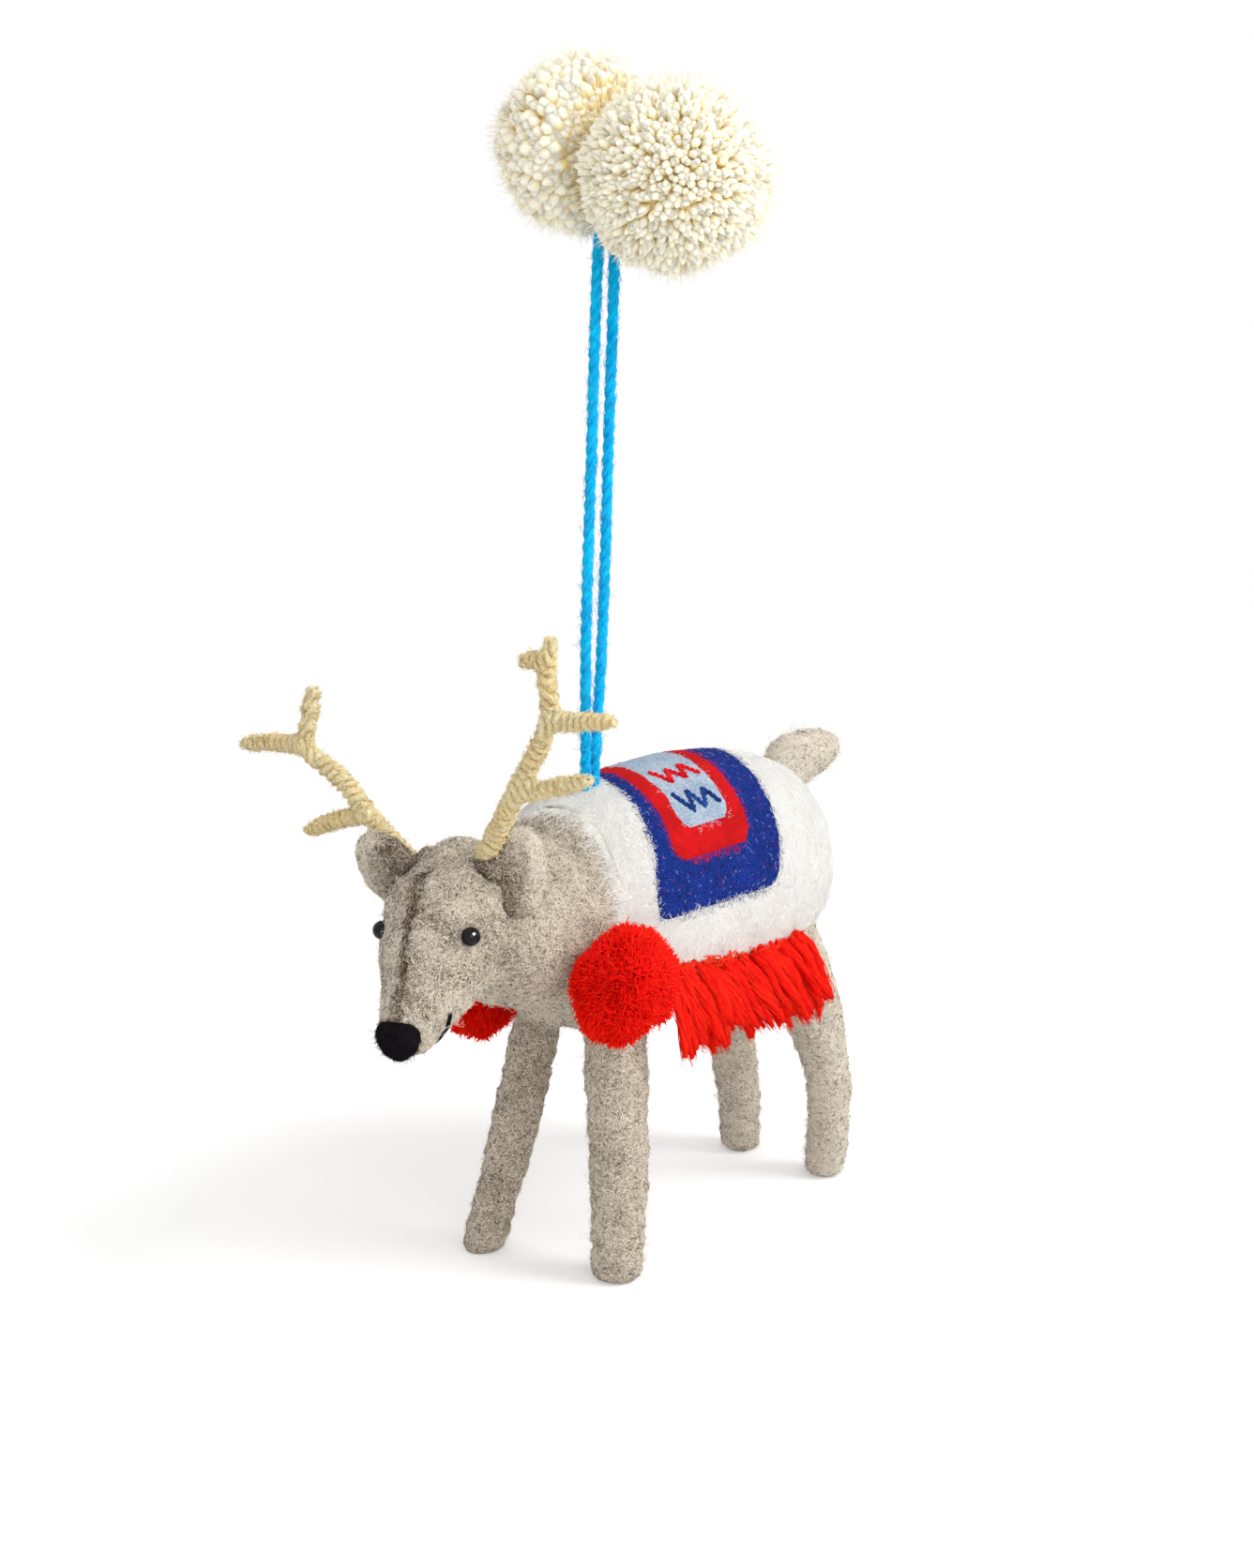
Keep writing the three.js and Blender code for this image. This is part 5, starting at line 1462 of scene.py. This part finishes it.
def tie(node, material, body, slot, rng):
    """A short plied tie along a CAD solid's length."""
    places, middle, axes = long_axis(node)
    along = (places - middle) @ axes[0]
    route = middle + np.linspace(along.min(), along.max(), 24)[:, None] * axes[0]
    piece = yarn(f"{node}_yarn", route, TIE_DIAMETER, material, rng, plies=2, pitch=3 * MM)
    dress(piece, slot, node, body=body)


def make_red_pompoms():
    for name, seed, squash in (("left", 91, RED_SQUASH), ("right", 92, 1)):
        rng = np.random.default_rng(seed)
        node = f"{name}_red_pompom"
        low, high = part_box(node)
        halves = np.array((high - low) / 2) * [1, 1, squash]
        middle = np.array([(low.x + high.x) / 2, (low.y + high.y) / 2, high.z - halves[2]])
        body = f"{name}_red"
        core(node, middle, halves * RED_CORE, RED_YARN, body, "red_yarn")
        paths = tuft(middle, halves, RED_STRANDS, 0.78, 2.8, rng, rings=4, spread=(0.92, 1.02), ragged=0.2)
        pompom(f"{node}_yarn", body, "red_yarn", paths, RED_STRAND_DIAMETER, RED_YARN, rng, sides=3)
        # Orange fuzz on the pompom: part orange fibre, part painted highlight.
        paths = tuft(middle, halves, RED_HAIRS, 0.8, 2.0, rng, rings=4, spread=(0.92, 1.1), ragged=0.16)
        fuzz(f"{node}_fuzz", paths, 0.11 * MM, ORANGE_FIBRE_AND_HIGHLIGHT, "red_yarn", rng, body)
        tie(f"{node}_tie", FRINGE_YARN, body, "red_yarn", rng)


make_red_pompoms()


def pressed(paths, side):
    """Paths that stay on their own side of the knot, where the cream pompoms press together."""
    own = paths[..., 0] * side
    squeezed = PRESS_GAP + (PRESS_FROM - PRESS_GAP) * np.exp((own - PRESS_FROM) / PRESS_SOFT)
    paths[..., 0] = side * np.where(own < PRESS_FROM, squeezed, own)
    return paths


def make_cream_pompoms():
    for name, seed, side, count, width in (("left", 95, 1, 2700, 1.5 * MM), ("right", 96, -1, 900, 2.4 * MM)):
        rng = np.random.default_rng(seed)
        node = f"{name}_cream_pompom"
        low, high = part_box(node)
        half = (high.y - low.y) / 2
        middle = np.array((low + high) / 2)
        middle[0] = high.x - half if side > 0 else low.x + half
        halves = np.full(3, half)
        body = f"{name}_cream"
        packed = core(node, middle, halves * CREAM_CORE, CREAM_YARN, body, "cream_yarn")
        reshape(packed, pressed(points(packed), side))
        paths = tuft(middle, halves, count, 0.7, 0.5, rng, rings=6, spread=(0.89, 0.98), ragged=0.06)
        pompom(f"{node}_yarn", body, "cream_yarn", pressed(paths, side), width, CREAM_YARN, rng, sides=6)
        paths = tuft(middle, halves, CREAM_HAIRS, 0.88, 3.0, rng, rings=3, spread=(0.92, 1.06), ragged=0.1)
        fuzz(f"{node}_fuzz", pressed(paths, side), 0.08 * MM, CREAM_FIBRE, "cream_yarn", rng, body)
        tie(f"{node}_tie", CORD_YARN, body, "cord_yarn", rng)


make_cream_pompoms()


# Wire cores, which stay as the CAD has them

STEEL_WIRE = wire_material()
for node_name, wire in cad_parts.items():
    if node_name.endswith("_wire"):
        wire.data.materials.clear()
        wire.data.materials.append(STEEL_WIRE)


# Floor, light and background

FLOOR_SIZE = 60.0
AMBIENT = 0.82
KEY_WATTS = 23
FRONT_WATTS = 14
CATCH_WATTS = 200
LAMP_DISTANCE = 2.0
FLOOR_GLOW = 0.27
SHADOW_REACH = 0.1
WHITE_FROM = 0.32


def make_world():
    world = bpy.data.worlds.new("studio")
    world.use_nodes = True
    nodes = Nodes(world.node_tree)
    dim = nodes.tree.nodes["Background"]
    nodes.put(PLAIN_WHITE, dim.inputs["Color"])
    nodes.put(AMBIENT, dim.inputs["Strength"])
    white = nodes.make("Background", {"Color": PLAIN_WHITE, "Strength": 1})
    nodes.blend(nodes.seen_directly(), dim, white, "World Output")
    bpy.context.scene.world = world


def make_floor():
    """A pale floor that keeps the shadow near the object and turns plain white further off."""
    half = FLOOR_SIZE / 2
    corners = np.array([[-half, -half, 0], [half, -half, 0], [half, half, 0], [-half, half, 0]])
    shader = Shader("floor", roughness=1.0, gloss=0)
    shader.colour(tint(226, 226, 226))
    shader.set("Emission Color", PLAIN_WHITE)
    seen = shader.seen_directly()
    shader.set("Emission Strength", shader.math("MULTIPLY", seen, FLOOR_GLOW))
    middle = (CAMERA_TARGET.x, CAMERA_TARGET.y, SOLE_LEVEL)
    away = shader.make("VectorMath", {0: shader.place, 1: middle}, operation="DISTANCE")
    far = shader.math("MULTIPLY", shader.span(away.outputs["Value"], SHADOW_REACH, WHITE_FROM), seen)
    white = shader.make("Emission", {"Strength": 1})
    shader.blend(far, shader.surface, white, "Material Output")
    places = corners + [0, 0, SOLE_LEVEL]
    floor = build("floor", places, [np.array([[0, 1, 2, 3]])], shader.material, smooth=False)


def make_lamp(name, direction, size, watts):
    data = bpy.data.lights.new(name, "AREA")
    data.shape = "DISK"
    data.size = size
    data.energy = watts
    lamp = add(name, data)
    towards = direction.normalized()
    place = Matrix.Translation(CAMERA_TARGET + towards * LAMP_DISTANCE)
    lamp.matrix_world = place @ towards.to_track_quat("Z", "Y").to_matrix().to_4x4()
    return lamp


UPWARD = Vector((0, 0, 1))
make_world()
make_floor()
make_lamp("key", VIEW_RIGHT * 0.95 + UPWARD * 0.75 + VIEW_BACK * 0.3, 1.0, KEY_WATTS)
make_lamp("front", VIEW_RIGHT * 0.25 + VIEW_UP * 0.1 + VIEW_BACK, 1.8, FRONT_WATTS)
catch = make_lamp("catch", VIEW_RIGHT * 0.6 + VIEW_UP * 0.5 + VIEW_BACK * 0.7, 1.15, CATCH_WATTS)
catch.visible_diffuse = False

bpy.context.scene.view_settings.view_transform = "Standard"
